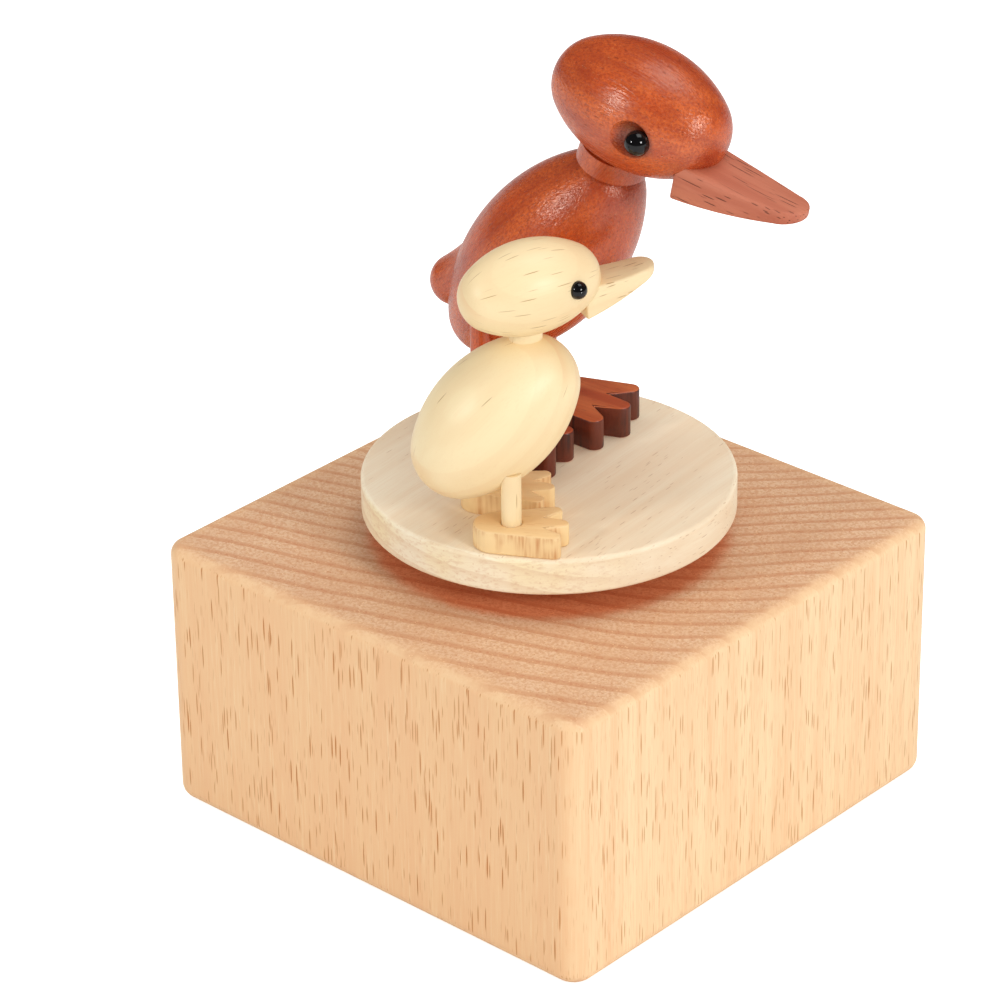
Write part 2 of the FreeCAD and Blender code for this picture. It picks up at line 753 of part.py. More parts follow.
def cylinder_bearing():
    """Angle bracket that carries the right end of the cylinder's arbor."""
    half = lug_width / 2
    wall_low_z = axis_z - lug_below_axis
    wall = box(bracket_x, bracket_x + bracket_thickness, -half, half, wall_low_z, frame_bottom_z)
    foot_end = bracket_x + bracket_thickness + bracket_foot
    foot = box(bracket_x, foot_end, -half, half, frame_bottom_z - bracket_thickness, frame_bottom_z)
    bracket = wall.fuse(foot).removeSplitter()
    bracket = bracket.cut(cylinder_x(cylinder_bore_radius, bracket_thickness + cut_margin,
                                     bracket_x - cut_margin / 2, 0, axis_z))
    return bracket.cut(screw_hole(bracket_screw_x, 0, 0, block_height, bracket_screw_diameter))


def bearing_screw():
    return screw_from_below(bracket_screw_x, 0, frame_bottom_z - bracket_thickness, bracket_screw_diameter,
                            bracket_screw_length, bracket_screw_head, bracket_screw_head_height)


# Comb

def comb():
    """Steel comb: long bass teeth on the left, short treble teeth on the right."""
    def root_y(x):
        share = (x - comb_left_x) / (comb_right_x - comb_left_x)
        return comb_tip_y - comb_bass_length + share * (comb_bass_length - comb_treble_length)

    base = prism([(comb_left_x, comb_back_y), (comb_right_x, comb_back_y),
                  (comb_right_x, root_y(comb_right_x)), (comb_left_x, root_y(comb_left_x))],
                 comb_bottom_z, comb_seat_z)
    tooth_width = comb_tooth_pitch - comb_slot
    teeth = []
    for index in range(comb_tooth_count):
        x = first_track_x + index * comb_tooth_pitch
        teeth.append(box(x - tooth_width / 2, x + tooth_width / 2,
                         comb_back_y + comb_seat_depth, comb_tip_y,
                         comb_bottom_z, comb_bottom_z + comb_tooth_thickness))
    plate = base.fuse(teeth).removeSplitter()
    for x in comb_screw_xs:
        plate = plate.cut(screw_hole(x, comb_screw_y, 0, block_height, comb_screw_diameter))
    return plate


def comb_weights():
    """Lead blocks under the tips of the bass teeth."""
    weights = []
    tooth_width = comb_tooth_pitch - comb_slot
    front = comb_tip_y - comb_weight_length / 2
    for index in range(comb_weight_count):
        x = first_track_x + index * comb_tooth_pitch
        weights.append(box(x - tooth_width / 2, x + tooth_width / 2, front - comb_weight_length, front,
                           comb_bottom_z - comb_weight_height, comb_bottom_z))
    return Part.makeCompound(weights)


def comb_screws():
    return Part.makeCompound([
        screw_from_below(x, comb_screw_y, comb_bottom_z, comb_screw_diameter, comb_screw_length,
                         comb_screw_head, comb_screw_head_height)
        for x in comb_screw_xs
    ])


# Governor: two wheels, a worm and a fly that keep the tune slow

def governor_frame():
    """Bent frame under the main frame: a flange, two side plates and a bottom bridge."""
    left = governor_plate_left_x
    right = -governor_right
    back = governor_back
    flange = box(left, right, governor_flange_front, back, frame_bottom_z - governor_plate, frame_bottom_z)
    bridge_front = back - governor_bridge_depth
    bridge = box(left, right, bridge_front, back, governor_bottom, governor_bottom + governor_plate)
    nose = pin_reach + governor_nose_gap
    low = axis_z - governor_nose_half_height
    high = axis_z + governor_nose_half_height
    side = [(back, frame_bottom_z), (back, governor_bottom), (bridge_front, governor_bottom),
            (nose, low), (nose, high), (nose + governor_shoulder_run, high + governor_shoulder_rise),
            (governor_flange_front, high + governor_flange_rise), (governor_flange_front, frame_bottom_z)]
    sides = []
    for x in (left, governor_plate_right_x):
        sides.append(lay_along_x(prism(side, 0, governor_plate), x, 0, 0))
    frame = flange.fuse([bridge] + sides).removeSplitter()
    pivot_hole = pivot_radius + running_clearance
    for y, z in ((first_arbor_y, first_arbor_z), (second_arbor_y, second_arbor_z)):
        frame = frame.cut(cylinder_x(pivot_hole, governor_left + cut_margin, left - cut_margin / 2, y, z))
    frame = frame.cut(cylinder(pivot_hole, frame_bottom_z + cut_margin, worm_wheel_place, worm_y, 0))
    flange_low_z = frame_bottom_z - governor_plate
    for x, y in governor_screw_places:
        frame = frame.cut(screw_hole(x, y, flange_low_z, block_height, governor_screw_diameter))
    return frame


def governor_screws():
    flange_low_z = frame_bottom_z - governor_plate
    return Part.makeCompound([
        screw_from_below(x, y, flange_low_z, governor_screw_diameter, governor_screw_length,
                         governor_screw_head, governor_screw_head_height)
        for x, y in governor_screw_places
    ])


def governor_arbor(y, z, module, addendum, dedendum, first_tooth, pinion_x, pinion_length):
    """Steel arbor between the governor's side plates, with its pinion cut on it."""
    start = governor_plate_left_x + governor_plate + end_play
    end = governor_plate_right_x - end_play
    arbor = cylinder_x(governor_arbor_radius, end - start, start, y, z)
    pivots = cylinder_x(pivot_radius, end - start + 2 * pivot_length, start - pivot_length, y, z)
    pinion = gear(pinion_leaves, module, addendum, dedendum, first_tooth, pinion_length)
    return arbor.fuse([pivots, lay_along_x(pinion, pinion_x, y, z)]).removeSplitter()


def first_governor_arbor():
    return governor_arbor(first_arbor_y, first_arbor_z, coarse_module, coarse_addendum, coarse_dedendum,
                          first_pinion_tooth, gear_left_x - pinion_overhang,
                          cylinder_gear_width + 2 * pinion_overhang)


def second_governor_arbor():
    return governor_arbor(second_arbor_y, second_arbor_z, fine_module, fine_addendum, fine_dedendum,
                          second_pinion_tooth, governor_wheel_x - pinion_overhang,
                          governor_wheel_thickness + 2 * pinion_overhang)


def first_governor_wheel():
    wheel = gear(governor_wheel_teeth, fine_module, fine_addendum, fine_dedendum, 0.0,
                 governor_wheel_thickness)
    wheel = wheel.cut(cylinder(governor_arbor_radius + glue_gap, block_height))
    return lay_along_x(wheel, governor_wheel_x, first_arbor_y, first_arbor_z)


def worm_wheel():
    wheel = gear(worm_wheel_teeth, fine_module, fine_addendum, fine_dedendum, worm_wheel_tooth,
                 worm_wheel_thickness)
    wheel = wheel.cut(cylinder(governor_arbor_radius + glue_gap, block_height))
    return lay_along_x(wheel, worm_wheel_place - worm_wheel_thickness / 2, second_arbor_y, second_arbor_z)


def governor_worm():
    """Upright shaft with a one-start right-hand worm thread."""
    pitch = math.pi * fine_module
    root = worm_radius - fine_dedendum
    tip = worm_radius + fine_addendum
    length = worm_turns * pitch
    low_z = second_arbor_z - int(worm_turns / 2) * pitch
    slope = math.tan(pressure_angle)
    half_at_pitch = tooth_share * pitch / 2 - running_clearance / 2
    half_tip = half_at_pitch - fine_addendum * slope
    sunk = root - worm_thread_root
    half_sunk = half_at_pitch + (worm_radius - sunk) * slope
    helix = Part.makeHelix(pitch, length, worm_radius)
    corners = [Vector(sunk, 0, -half_sunk), Vector(tip, 0, -half_tip),
               Vector(tip, 0, half_tip), Vector(sunk, 0, half_sunk)]
    section = Part.makePolygon(corners + corners[:1])
    thread = Part.Wire(helix.Edges).makePipeShell([section], True, True)
    thread.rotate(ORIGIN, UP, -90.0)
    core = cylinder(root, length, 0, 0, 0)
    worm = core.fuse(thread)
    worm.translate(Vector(worm_wheel_place, worm_y, low_z))
    start = governor_bottom + governor_plate + end_play
    end = frame_bottom_z - governor_plate - end_play
    shaft = cylinder(worm_shaft_radius, end - start, worm_wheel_place, worm_y, start)
    pivots_length = end - start + 2 * pivot_length
    pivots = cylinder(pivot_radius, pivots_length, worm_wheel_place, worm_y, start - pivot_length)
    return worm.fuse([shaft, pivots])


def governor_fly():
    """Air brake on the worm's shaft: a hub with two vanes."""
    low_z = governor_bottom + governor_plate + fly_above_bridge
    hub = cylinder(fly_hub_radius, fly_height, worm_wheel_place, worm_y, low_z)
    vanes = box(worm_wheel_place - fly_radius, worm_wheel_place + fly_radius, worm_y - fly_thickness / 2,
                worm_y + fly_thickness / 2, low_z, low_z + fly_height)
    bore = cylinder(worm_shaft_radius + glue_gap, fly_height, worm_wheel_place, worm_y, low_z)
    return hub.fuse(vanes).removeSplitter().cut(bore)


# Turning disc

def turntable_post():
    """Square post on the arbor, seen in the gap under the disc."""
    half = post_side / 2
    bottom_z = ceiling_z + post_above_frame
    post = box(-half, half, -half, half, bottom_z, disc_bottom_z + post_depth_in_disc)
    bore_top_z = arbor_top_z + glue_gap
    return post.cut(cylinder(arbor_radius + glue_gap, bore_top_z - bottom_z + cut_margin, 0, 0,
                             bottom_z - cut_margin))


def turntable_disc():
    disc = cylinder(disc_radius, disc_thickness, 0, 0, disc_bottom_z)
    rims = [edge for edge in disc.Edges if isinstance(edge.Curve, Part.Circle)]
    disc = disc.makeFillet(disc_edge_radius, rims)
    half = post_side / 2 + glue_gap
    return disc.cut(box(-half, half, -half, half, disc_bottom_z - cut_margin,
                        disc_bottom_z + post_depth_in_disc + glue_gap))


# Ducks

def egg(centre, turn, half_length, radius):
    """Turned egg: an oval of two tight end arcs and one long side arc, spun about its long axis."""
    end_radius = egg_end_roundness * radius ** 2 / half_length
    end_x = half_length - end_radius
    drop = (end_x ** 2 - (radius - end_radius) ** 2) / (2 * (radius - end_radius))
    lean = math.atan2(drop, end_x)
    join_x = end_x + end_radius * math.cos(lean)
    join_y = end_radius * math.sin(lean)
    cap_x = end_x + end_radius * math.cos(lean / 2)
    cap_y = end_radius * math.sin(lean / 2)
    front_tip = Vector(half_length, 0, 0)
    front_join = Vector(join_x, join_y, 0)
    rear_join = Vector(-join_x, join_y, 0)
    rear_tip = Vector(-half_length, 0, 0)
    front = Part.Arc(front_tip, Vector(cap_x, cap_y, 0), front_join).toShape()
    side = Part.Arc(front_join, Vector(0, radius, 0), rear_join).toShape()
    rear = Part.Arc(rear_join, Vector(-cap_x, cap_y, 0), rear_tip).toShape()
    axis = Part.makeLine(rear_tip, front_tip)
    solid = Part.Face(Part.Wire([front, side, rear, axis])).revolve(ORIGIN, Vector(1, 0, 0), 360)
    return put_in_frame(solid, centre, turn)


def egg_reach(axis, half_length, radius, towards):
    """From an egg's centre to the point of its skin that faces a direction."""
    along = axis.dot(towards)
    across = towards - axis * along
    size = math.sqrt((half_length * along) ** 2 + (radius ** 2) * (1 - along ** 2))
    return (axis * (half_length ** 2 * along) + across * radius ** 2) * (1 / size)


def put_in_frame(shape, centre, turn):
    """Move a piece drawn along X to a centre, with X along a (yaw, pitch) pair in degrees."""
    yaw, pitch = turn
    moved = shape.copy()
    moved.rotate(ORIGIN, Vector(0, 1, 0), -pitch)
    moved.rotate(ORIGIN, UP, yaw)
    moved.translate(centre)
    return moved


def flared_tail(centre, turn, root, root_radius, tip_radius, reach, flare_angle):
    """Tail turned about its own axis: a hollow flare that runs smoothly into a round tip."""
    lean = math.radians(flare_angle)
    tip_x = reach - tip_radius
    join = Vector(tip_x + tip_radius * math.sin(lean), tip_radius * math.cos(lean), 0)
    normal = Vector(math.sin(lean), math.cos(lean), 0)
    start = Vector(root, root_radius, 0)
    run = start - join
    flare_radius = run.dot(run) / (2 * run.dot(normal))
    flare_centre = join + normal * flare_radius
    middle = (join + start) * 0.5 - flare_centre
    bend = flare_centre + middle * (flare_radius / middle.Length)
    flare = Part.Arc(start, bend, join).toShape()
    cap_turn = (math.pi / 2 - lean) / 2
    cap = Vector(tip_x + tip_radius * math.cos(cap_turn), tip_radius * math.sin(cap_turn), 0)
    tip = Part.Arc(join, cap, Vector(reach, 0, 0)).toShape()
    axis = Part.makeLine(Vector(reach, 0, 0), Vector(root, 0, 0))
    back = Part.makeLine(Vector(root, 0, 0), start)
    solid = Part.Face(Part.Wire([flare, tip, axis, back])).revolve(ORIGIN, Vector(1, 0, 0), 360)
    return put_in_frame(solid, centre, turn)


def tapered_slot(start, end, start_radius, end_radius, height):
    """Flat pad between two round ends, in the XY plane."""
    run = end - start
    length = run.Length
    lean = math.acos((start_radius - end_radius) / length)
    heading = math.atan2(run.y, run.x)

    def rim(centre, radius, side):
        turn = heading + side * lean
        return (centre.x + radius * math.cos(turn), centre.y + radius * math.sin(turn))

    web = prism([rim(start, start_radius, -1), rim(end, end_radius, -1), rim(end, end_radius, 1),
                 rim(start, start_radius, 1)], 0, height)
    ends = [cylinder(start_radius, height, start.x, start.y), cylinder(end_radius, height, end.x, end.y)]
    return web.fuse(ends)


def webbed_foot(heel, length, width, thickness, toe_radius, heel_radius):
    """Flat foot of three tapered toes that grow from one heel; leg at the origin, toes towards X."""
    heel_centre = Vector(heel_radius - heel, 0, 0)
    front = length - heel - toe_radius
    side = width / 2 - toe_radius
    setback = front - side_toe_setback_share * side
    foot = tapered_slot(heel_centre, Vector(front, 0, 0), heel_radius, toe_radius, thickness)
    for sign in (-1, 1):
        toe = Vector(setback, sign * side, 0)
        foot = foot.fuse(tapered_slot(heel_centre, toe, heel_radius, toe_radius, thickness))
    return foot.removeSplitter()


def bill_blank(root, reach, widths, thicknesses):
    """Wedge of a bill along X, its hollowed top at Z = 0; widths are root, waist and tip."""
    root_width, waist_width, tip_width = widths
    root_thickness, tip_thickness = thicknesses
    tip_radius = tip_width / 2
    waist_x = root + (reach - root) * bill_waist_place
    broad_x = reach - tip_radius

    def flank(side):
        return Part.Arc(Vector(root, side * root_width / 2, 0), Vector(waist_x, side * waist_width / 2, 0),
                        Vector(broad_x, side * tip_radius, 0)).toShape()

    tip = Part.Arc(Vector(broad_x, tip_radius, 0), Vector(reach, 0, 0),
                   Vector(broad_x, -tip_radius, 0)).toShape()
    back = Part.makeLine(Vector(root, -root_width / 2, 0), Vector(root, root_width / 2, 0))
    plan = Part.Face(Part.Wire(Part.__sortEdges__([flank(1), tip, flank(-1), back])))
    plan.translate(Vector(0, 0, -2 * root_thickness))
    slab = plan.extrude(Vector(0, 0, 3 * root_thickness))

    root_top = Vector(root, 0, 0)
    root_bottom = Vector(root, 0, -root_thickness)
    tip_top = Vector(reach, 0, 0)
    tip_bottom = Vector(reach, 0, -tip_thickness)
    belly_thickness = tip_thickness + (root_thickness - tip_thickness) * (1 - bill_waist_place)
    belly = Vector(waist_x, 0, -belly_thickness - bill_belly_swell)
    upper = Part.Arc(root_top, Vector(waist_x, 0, -bill_top_hollow), tip_top).toShape()
    lower = Part.Arc(root_bottom, belly, tip_bottom).toShape()
    ends = [Part.makeLine(root_top, root_bottom), Part.makeLine(tip_top, tip_bottom)]
    side_face = Part.Face(Part.Wire(Part.__sortEdges__([upper, lower] + ends)))
    side_face.translate(Vector(0, -root_width, 0))
    profile = side_face.extrude(Vector(0, 2 * root_width, 0))
    return slab.common(profile)


def build_duck(name, sizes, nodes):
    """All pieces of one duck, from its own set of sizes."""
    size = {key[len(name) + 1:]: value for key, value in sizes.items() if key.startswith(name + "_")}
    body_turn = (size["body_yaw_angle"], size["body_pitch_angle"])
    head_turn = (size["head_yaw_angle"], size["head_pitch_angle"])
    body_size = (size["body_half_length"], size["body_radius"])
    head_size = (size["head_half_length"], size["head_radius"])
    stance = Vector(size["stance_x"], size["stance_y"], 0)
    body_z = disc_top_z + size["body_height"]
    body_centre = stance + Vector(size["body_shift_x"], size["body_shift_y"], body_z)
    body = egg(body_centre, body_turn, *body_size)

    if "tail_reach" in size:
        tail_turn = (size["body_yaw_angle"] + 180, size["tail_pitch_angle"])
        tail = flared_tail(body_centre, tail_turn, size["tail_root"], size["tail_root_radius"],
                           size["tail_tip_radius"], size["tail_reach"], size["tail_flare_angle"])
        body = body.fuse(tail).removeSplitter()

    neck_axis = direction(size["neck_yaw_angle"], size["neck_pitch_angle"])
    body_top = body_centre + egg_reach(direction(*body_turn), *body_size, neck_axis)
    head_foot = body_top + neck_axis * size["neck_gap"]
    head_centre = head_foot + egg_reach(direction(*head_turn), *head_size, neck_axis)
    head = egg(head_centre, head_turn, *head_size)

    collar_start = body_top - neck_axis * collar_seat
    collar_end = head_foot + neck_axis * collar_seat
    body = body.fuse(rod(size["collar_radius"], collar_start, collar_end)).removeSplitter()
    seat = rod(size["collar_radius"] + glue_gap, collar_start, collar_end + neck_axis * glue_gap)
    dowel_start = body_top - neck_axis * neck_dowel_depth
    dowel_end = head_foot + neck_axis * neck_dowel_depth
    dowel_hole = rod(neck_dowel_radius + glue_gap, dowel_start - neck_axis * glue_gap,
                     dowel_end + neck_axis * glue_gap)
    nodes[name + "_neck_dowel"] = rod(neck_dowel_radius, dowel_start, dowel_end)
    body_cuts = [dowel_hole]
    head_cuts = [seat, dowel_hole]

    eye_share = size["eye_forward"] / size["head_half_length"]
    radius_at_eye = size["head_radius"] * math.sqrt(1 - eye_share ** 2)
    turn = math.radians(size["eye_angle"])
    for side, sign in (("right", -1), ("left", 1)):
        out = Vector(0, sign * math.cos(turn), math.sin(turn))
        skin = Vector(size["eye_forward"], 0, 0) + out * radius_at_eye
        if "eye_recess_radius" in size:
            above = out * (size["eye_radius"] * eye_recess_lift_share)
            hollow_centre = skin - Vector(size["eye_recess_back"], 0, 0) + above
            hollow = Part.makeSphere(size["eye_recess_radius"], hollow_centre)
            head_cuts.append(put_in_frame(hollow, head_centre, head_turn))
        centre = skin - out * (size["eye_radius"] * eye_sink_share)
        socket = Part.makeSphere(size["eye_radius"] + glue_gap, centre, out)
        head_cuts.append(put_in_frame(socket, head_centre, head_turn))
        bead = Part.makeSphere(size["eye_radius"], centre, out)
        nodes[name + "_" + side + "_eye"] = put_in_frame(bead, head_centre, head_turn)

    bill = bill_blank(size["bill_root"], size["bill_reach"],
                      (size["bill_root_width"], size["bill_waist_width"], size["bill_tip_width"]),
                      (size["bill_root_thickness"], size["bill_tip_thickness"]))
    bill.translate(Vector(0, 0, -size["bill_drop"]))
    bill = put_in_frame(bill, head_centre, head_turn)
    head_cuts.append(bill)
    nodes[name + "_bill"] = bill

    foot = webbed_foot(size["foot_heel"], size["foot_length"], size["foot_width"], size["foot_thickness"],
                       size["toe_radius"], size["heel_radius"])
    leg_low_z = disc_top_z + leg_seat
    leg_length = body_centre.z - leg_end_below_body_centre - leg_low_z
    across = direction(size["stance_yaw_angle"] + 90, 0) * (size["leg_spacing"] / 2)
    foot_yaws = (("right", -1, size["right_foot_yaw_angle"]), ("left", 1, size["left_foot_yaw_angle"]))
    for side, sign, foot_yaw in foot_yaws:
        place = stance + across * sign
        own_foot = foot.copy()
        own_foot.rotate(ORIGIN, UP, foot_yaw)
        own_foot.translate(place + Vector(0, 0, disc_top_z))
        hole = cylinder(size["leg_radius"] + glue_gap, leg_length + glue_gap, place.x, place.y, leg_low_z)
        leg = cylinder(size["leg_radius"], leg_length, place.x, place.y, leg_low_z)
        nodes[name + "_" + side + "_leg"] = leg
        nodes[name + "_" + side + "_foot"] = own_foot.cut(hole)
        body_cuts.append(hole)
    nodes[name + "_body"] = body.cut(body_cuts)
    nodes[name + "_head"] = head.cut(head_cuts)


nodes = {
    "wood_block": wood_block(),
    "bottom_plate": bottom_plate(),
    "bottom_plate_screws": bottom_plate_screws(),
    "movement_frame": movement_frame(),
    "frame_screws": frame_screws(),
    "spring_barrel": spring_barrel(),
    "barrel_rivets": barrel_rivets(),
    "mainspring": mainspring(),
    "comb": comb(),
    "comb_weights": comb_weights(),
    "comb_screws": comb_screws(),
    "cylinder_bearing": cylinder_bearing(),
    "bearing_screw": bearing_screw(),
    "governor_frame": governor_frame(),
    "governor_screws": governor_screws(),
    "winding_arbor": winding_arbor(),
    "arbor_ring": arbor_ring(),
    "turntable_post": turntable_post(),
    "turntable_disc": turntable_disc(),
    "crown_wheel": crown_wheel(),
    "clutch_spring": clutch_spring(),
    "music_cylinder": music_cylinder(),
    "cylinder_caps": cylinder_caps(),
    "cylinder_arbor": cylinder_arbor(),
    "cylinder_gear": cylinder_gear(),
    "first_governor_arbor": first_governor_arbor(),
    "first_governor_wheel": first_governor_wheel(),
    "second_governor_arbor": second_governor_arbor(),
    "worm_wheel": worm_wheel(),
    "governor_worm": governor_worm(),
    "governor_fly": governor_fly(),
}
build_duck("mother", globals(), nodes)
build_duck("duckling", globals(), nodes)

os.makedirs("parts", exist_ok=True)
for name, shape in nodes.items():
    shape.exportStep("parts/" + name + ".step")
    print(f"{name}: {len(shape.Solids)} solid(s), {shape.Volume:.2f} mm3, valid {shape.isValid()}")
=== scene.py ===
import json
import math

import bmesh
import bpy
from mathutils import Matrix, Vector

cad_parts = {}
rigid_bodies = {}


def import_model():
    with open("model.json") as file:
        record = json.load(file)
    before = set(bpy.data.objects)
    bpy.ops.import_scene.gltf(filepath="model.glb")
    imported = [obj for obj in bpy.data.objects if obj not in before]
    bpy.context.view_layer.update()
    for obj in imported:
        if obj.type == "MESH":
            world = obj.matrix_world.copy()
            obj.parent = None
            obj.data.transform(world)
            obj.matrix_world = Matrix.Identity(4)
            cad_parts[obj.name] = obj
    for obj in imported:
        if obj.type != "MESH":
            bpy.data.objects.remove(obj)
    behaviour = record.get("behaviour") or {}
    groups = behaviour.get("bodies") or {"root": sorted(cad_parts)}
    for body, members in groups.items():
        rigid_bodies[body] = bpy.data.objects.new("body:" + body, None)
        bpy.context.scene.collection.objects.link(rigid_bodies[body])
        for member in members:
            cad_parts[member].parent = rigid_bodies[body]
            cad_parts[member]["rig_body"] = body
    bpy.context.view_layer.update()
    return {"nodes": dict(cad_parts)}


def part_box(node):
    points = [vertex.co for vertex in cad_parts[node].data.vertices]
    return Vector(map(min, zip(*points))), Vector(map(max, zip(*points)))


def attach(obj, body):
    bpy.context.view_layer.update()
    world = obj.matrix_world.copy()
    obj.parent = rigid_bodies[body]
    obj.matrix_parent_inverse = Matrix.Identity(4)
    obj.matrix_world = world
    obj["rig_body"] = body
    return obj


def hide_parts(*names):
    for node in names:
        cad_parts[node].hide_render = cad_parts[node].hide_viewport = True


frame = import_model()
nodes = frame["nodes"]
print("frame loaded:", len(nodes), "nodes")


def directionOf(azimuth, elevation):
    turn = math.radians(azimuth)
    rise = math.radians(elevation)
    return Vector((math.sin(turn) * math.cos(rise), -math.cos(turn) * math.cos(rise), math.sin(rise)))


# camera, at the photograph's viewing angle
cameraView = {
    "target": (-0.004218, -0.003849, 0.03856),
    "distance": 0.5225,
    "azimuth": 42.38,
    "elevation": 28.21,
    "roll": -0.72,
    "lens": 160.35,
    "sensor": 36,
    "clip": (0.01, 20),
}


def makeCamera():
    want = cameraView
    back = directionOf(want["azimuth"], want["elevation"])
    data = bpy.data.cameras.new("camera")
    data.lens = want["lens"]
    data.sensor_width = want["sensor"]
    data.clip_start, data.clip_end = want["clip"]
    camera = bpy.data.objects.new("camera", data)
    bpy.context.scene.collection.objects.link(camera)
    camera.location = Vector(want["target"]) + back * want["distance"]
    look = (-back).to_track_quat("-Z", "Y").to_matrix()
    roll = Matrix.Rotation(math.radians(want["roll"]), 3, "Z")
    camera.rotation_euler = (look @ roll).to_euler()
    bpy.context.scene.camera = camera


makeCamera()
print("camera made")


# node helpers: a value may be a number, a colour or another node's output
def feed(tree, socket, value):
    if isinstance(value, bpy.types.NodeSocket):
        tree.links.new(value, socket)
    elif isinstance(value, (tuple, list)) and socket.type == "RGBA" and len(value) == 3:
        socket.default_value = (*value, 1.0)
    else:
        socket.default_value = value


def put(tree, kind, settings=None, **inputs):
    node = tree.nodes.new(kind)
    for key, value in (settings or {}).items():
        setattr(node, key, value)
    for key, value in inputs.items():
        feed(tree, node.inputs[key.replace("_", " ")], value)
    return node


def maths(tree, operation, first, second=0.0):
    node = put(tree, "ShaderNodeMath", {"operation": operation})
    feed(tree, node.inputs[0], first)
    feed(tree, node.inputs[1], second)
    return node.outputs[0]


def plus(tree, first, second):
    return maths(tree, "ADD", first, second)


def minus(tree, first, second):
    return maths(tree, "SUBTRACT", first, second)


def times(tree, first, second):
    return maths(tree, "MULTIPLY", first, second)


def vectorMaths(tree, operation, first, second=(0, 0, 0)):
    node = put(tree, "ShaderNodeVectorMath", {"operation": operation})
    feed(tree, node.inputs[0], first)
    feed(tree, node.inputs[1], second)
    result = "Value" if operation in ("DOT_PRODUCT", "LENGTH", "DISTANCE") else "Vector"
    return node.outputs[result]


def scaled(tree, vector, sizes):
    return vectorMaths(tree, "MULTIPLY", vector, sizes)


def stretched(tree, vector, across, along):
    return scaled(tree, vector, (1 / across, 1 / across, 1 / along))


def split(tree, vector):
    return put(tree, "ShaderNodeSeparateXYZ", Vector=vector).outputs


def fade(tree, value, low, high, start=0.0, end=1.0):
    node = put(tree, "ShaderNodeMapRange", {"interpolation_type": "SMOOTHSTEP"})
    for index, item in enumerate((value, low, high, start, end)):
        feed(tree, node.inputs[index], item)
    return node.outputs[0]


def blend(tree, factor, first, second, kind="MIX"):
    node = put(tree, "ShaderNodeMix", {"data_type": "RGBA", "blend_type": kind, "clamp_factor": True})
    feed(tree, node.inputs[0], factor)
    feed(tree, node.inputs[6], first)
    feed(tree, node.inputs[7], second)
    return node.outputs[2]


def noise(tree, vector, scale=1.0, detail=2.0, roughness=0.5):
    node = put(tree, "ShaderNodeTexNoise", Vector=vector, Scale=scale, Detail=detail, Roughness=roughness)
    return node.outputs["Fac"]


# lays colours one over another; a row is a mask's name, a colour's name,
# and between them nothing, the mask's strength or the mask's fade
def paint(tree, colour, masks, colours, rows):
    for source, *shape, coat in rows:
        mask = masks[source]
        if len(shape) == 1:
            mask = times(tree, mask, shape[0])
        elif shape:
            mask = fade(tree, mask, *shape)
        colour = blend(tree, mask, colour, colours[coat])
    return colour


# height of a surface with two kinds of dent
def dented(tree, first, second):
    return minus(tree, 1.0, plus(tree, first, second))


def makeGroup(name, inputs, outputs):
    group = bpy.data.node_groups.new(name, "ShaderNodeTree")
    kinds = {"float": "NodeSocketFloat", "vector": "NodeSocketVector"}
    for label, kind, value in inputs:
        socket = group.interface.new_socket(label, in_out="INPUT", socket_type=kinds[kind])
        if value is not None:
            socket.default_value = value
    for label in outputs:
        group.interface.new_socket(label, in_out="OUTPUT", socket_type=kinds["float"])
    return group, group.nodes.new("NodeGroupInput").outputs, group.nodes.new("NodeGroupOutput").inputs


def place(tree, group, **inputs):
    return dict(put(tree, "ShaderNodeGroup", {"node_tree": group}, **inputs).outputs.items())


# effects that the woods share; lengths in them are millimetres, and Z runs along the grain
ringPattern = {
    "slowDrift": (0.055, 0.055, 0.012),
    "fineDrift": (0.7, 0.7, 0.06),
    "slowShift": 4.0,
    "fineShift": 0.3,
    "darkest": 0.93,  # share of a year at which the late wood is darkest
    "lineEnd": (0.94, 1.0),
    "rayAround": 3.4,
    "rayOutwards": 0.09,
    "rayMask": (0.6, 0.74),
}


def makeGrowthRings():
    want = ringPattern
    tree, given, out = makeGroup("Growth rings", [
        ("Vector", "vector", None), ("Pith", "vector", (0, 0, 0)), ("Spacing", "float", 3.0),
        ("Wobble", "float", 0.5), ("Line", "float", 0.3),
    ], ["Ring", "Tone", "Ray"])
    flat = scaled(tree, vectorMaths(tree, "SUBTRACT", given["Vector"], given["Pith"]), (1, 1, 0))
    radius = vectorMaths(tree, "LENGTH", flat)
    slow = noise(tree, scaled(tree, given["Vector"], want["slowDrift"]), detail=1.5)
    fine = noise(tree, scaled(tree, given["Vector"], want["fineDrift"]))
    shift = times(tree, minus(tree, slow, 0.5), times(tree, given["Wobble"], want["slowShift"]))
    shift = plus(tree, shift, times(tree, minus(tree, fine, 0.5), want["fineShift"]))
    years = maths(tree, "DIVIDE", plus(tree, radius, shift), given["Spacing"])
    share = maths(tree, "FRACT", years)
    # wood darkens slowly up to the line, which has a sharp end
    late = maths(tree, "POWER", fade(tree, share, given["Line"], want["darkest"]), 2.0)
    tree.links.new(times(tree, late, fade(tree, share, *want["lineEnd"], 1.0, 0.0)), out["Ring"])
    random = put(tree, "ShaderNodeTexWhiteNoise", {"noise_dimensions": "1D"}, W=maths(tree, "FLOOR", years))
    tree.links.new(random.outputs["Value"], out["Tone"])
    apart = split(tree, flat)
    around = times(tree, maths(tree, "ARCTAN2", apart["Y"], apart["X"]), radius)
    polar = put(tree, "ShaderNodeCombineXYZ", X=times(tree, around, want["rayAround"]),
                Y=times(tree, radius, want["rayOutwards"])).outputs[0]
    tree.links.new(fade(tree, noise(tree, polar, detail=1.0), *want["rayMask"]), out["Ray"])
    return tree


fibrePattern = {"fineAlong": 0.035, "broad": (3.2, 55.0), "cloud": (7.0, 11.0)}


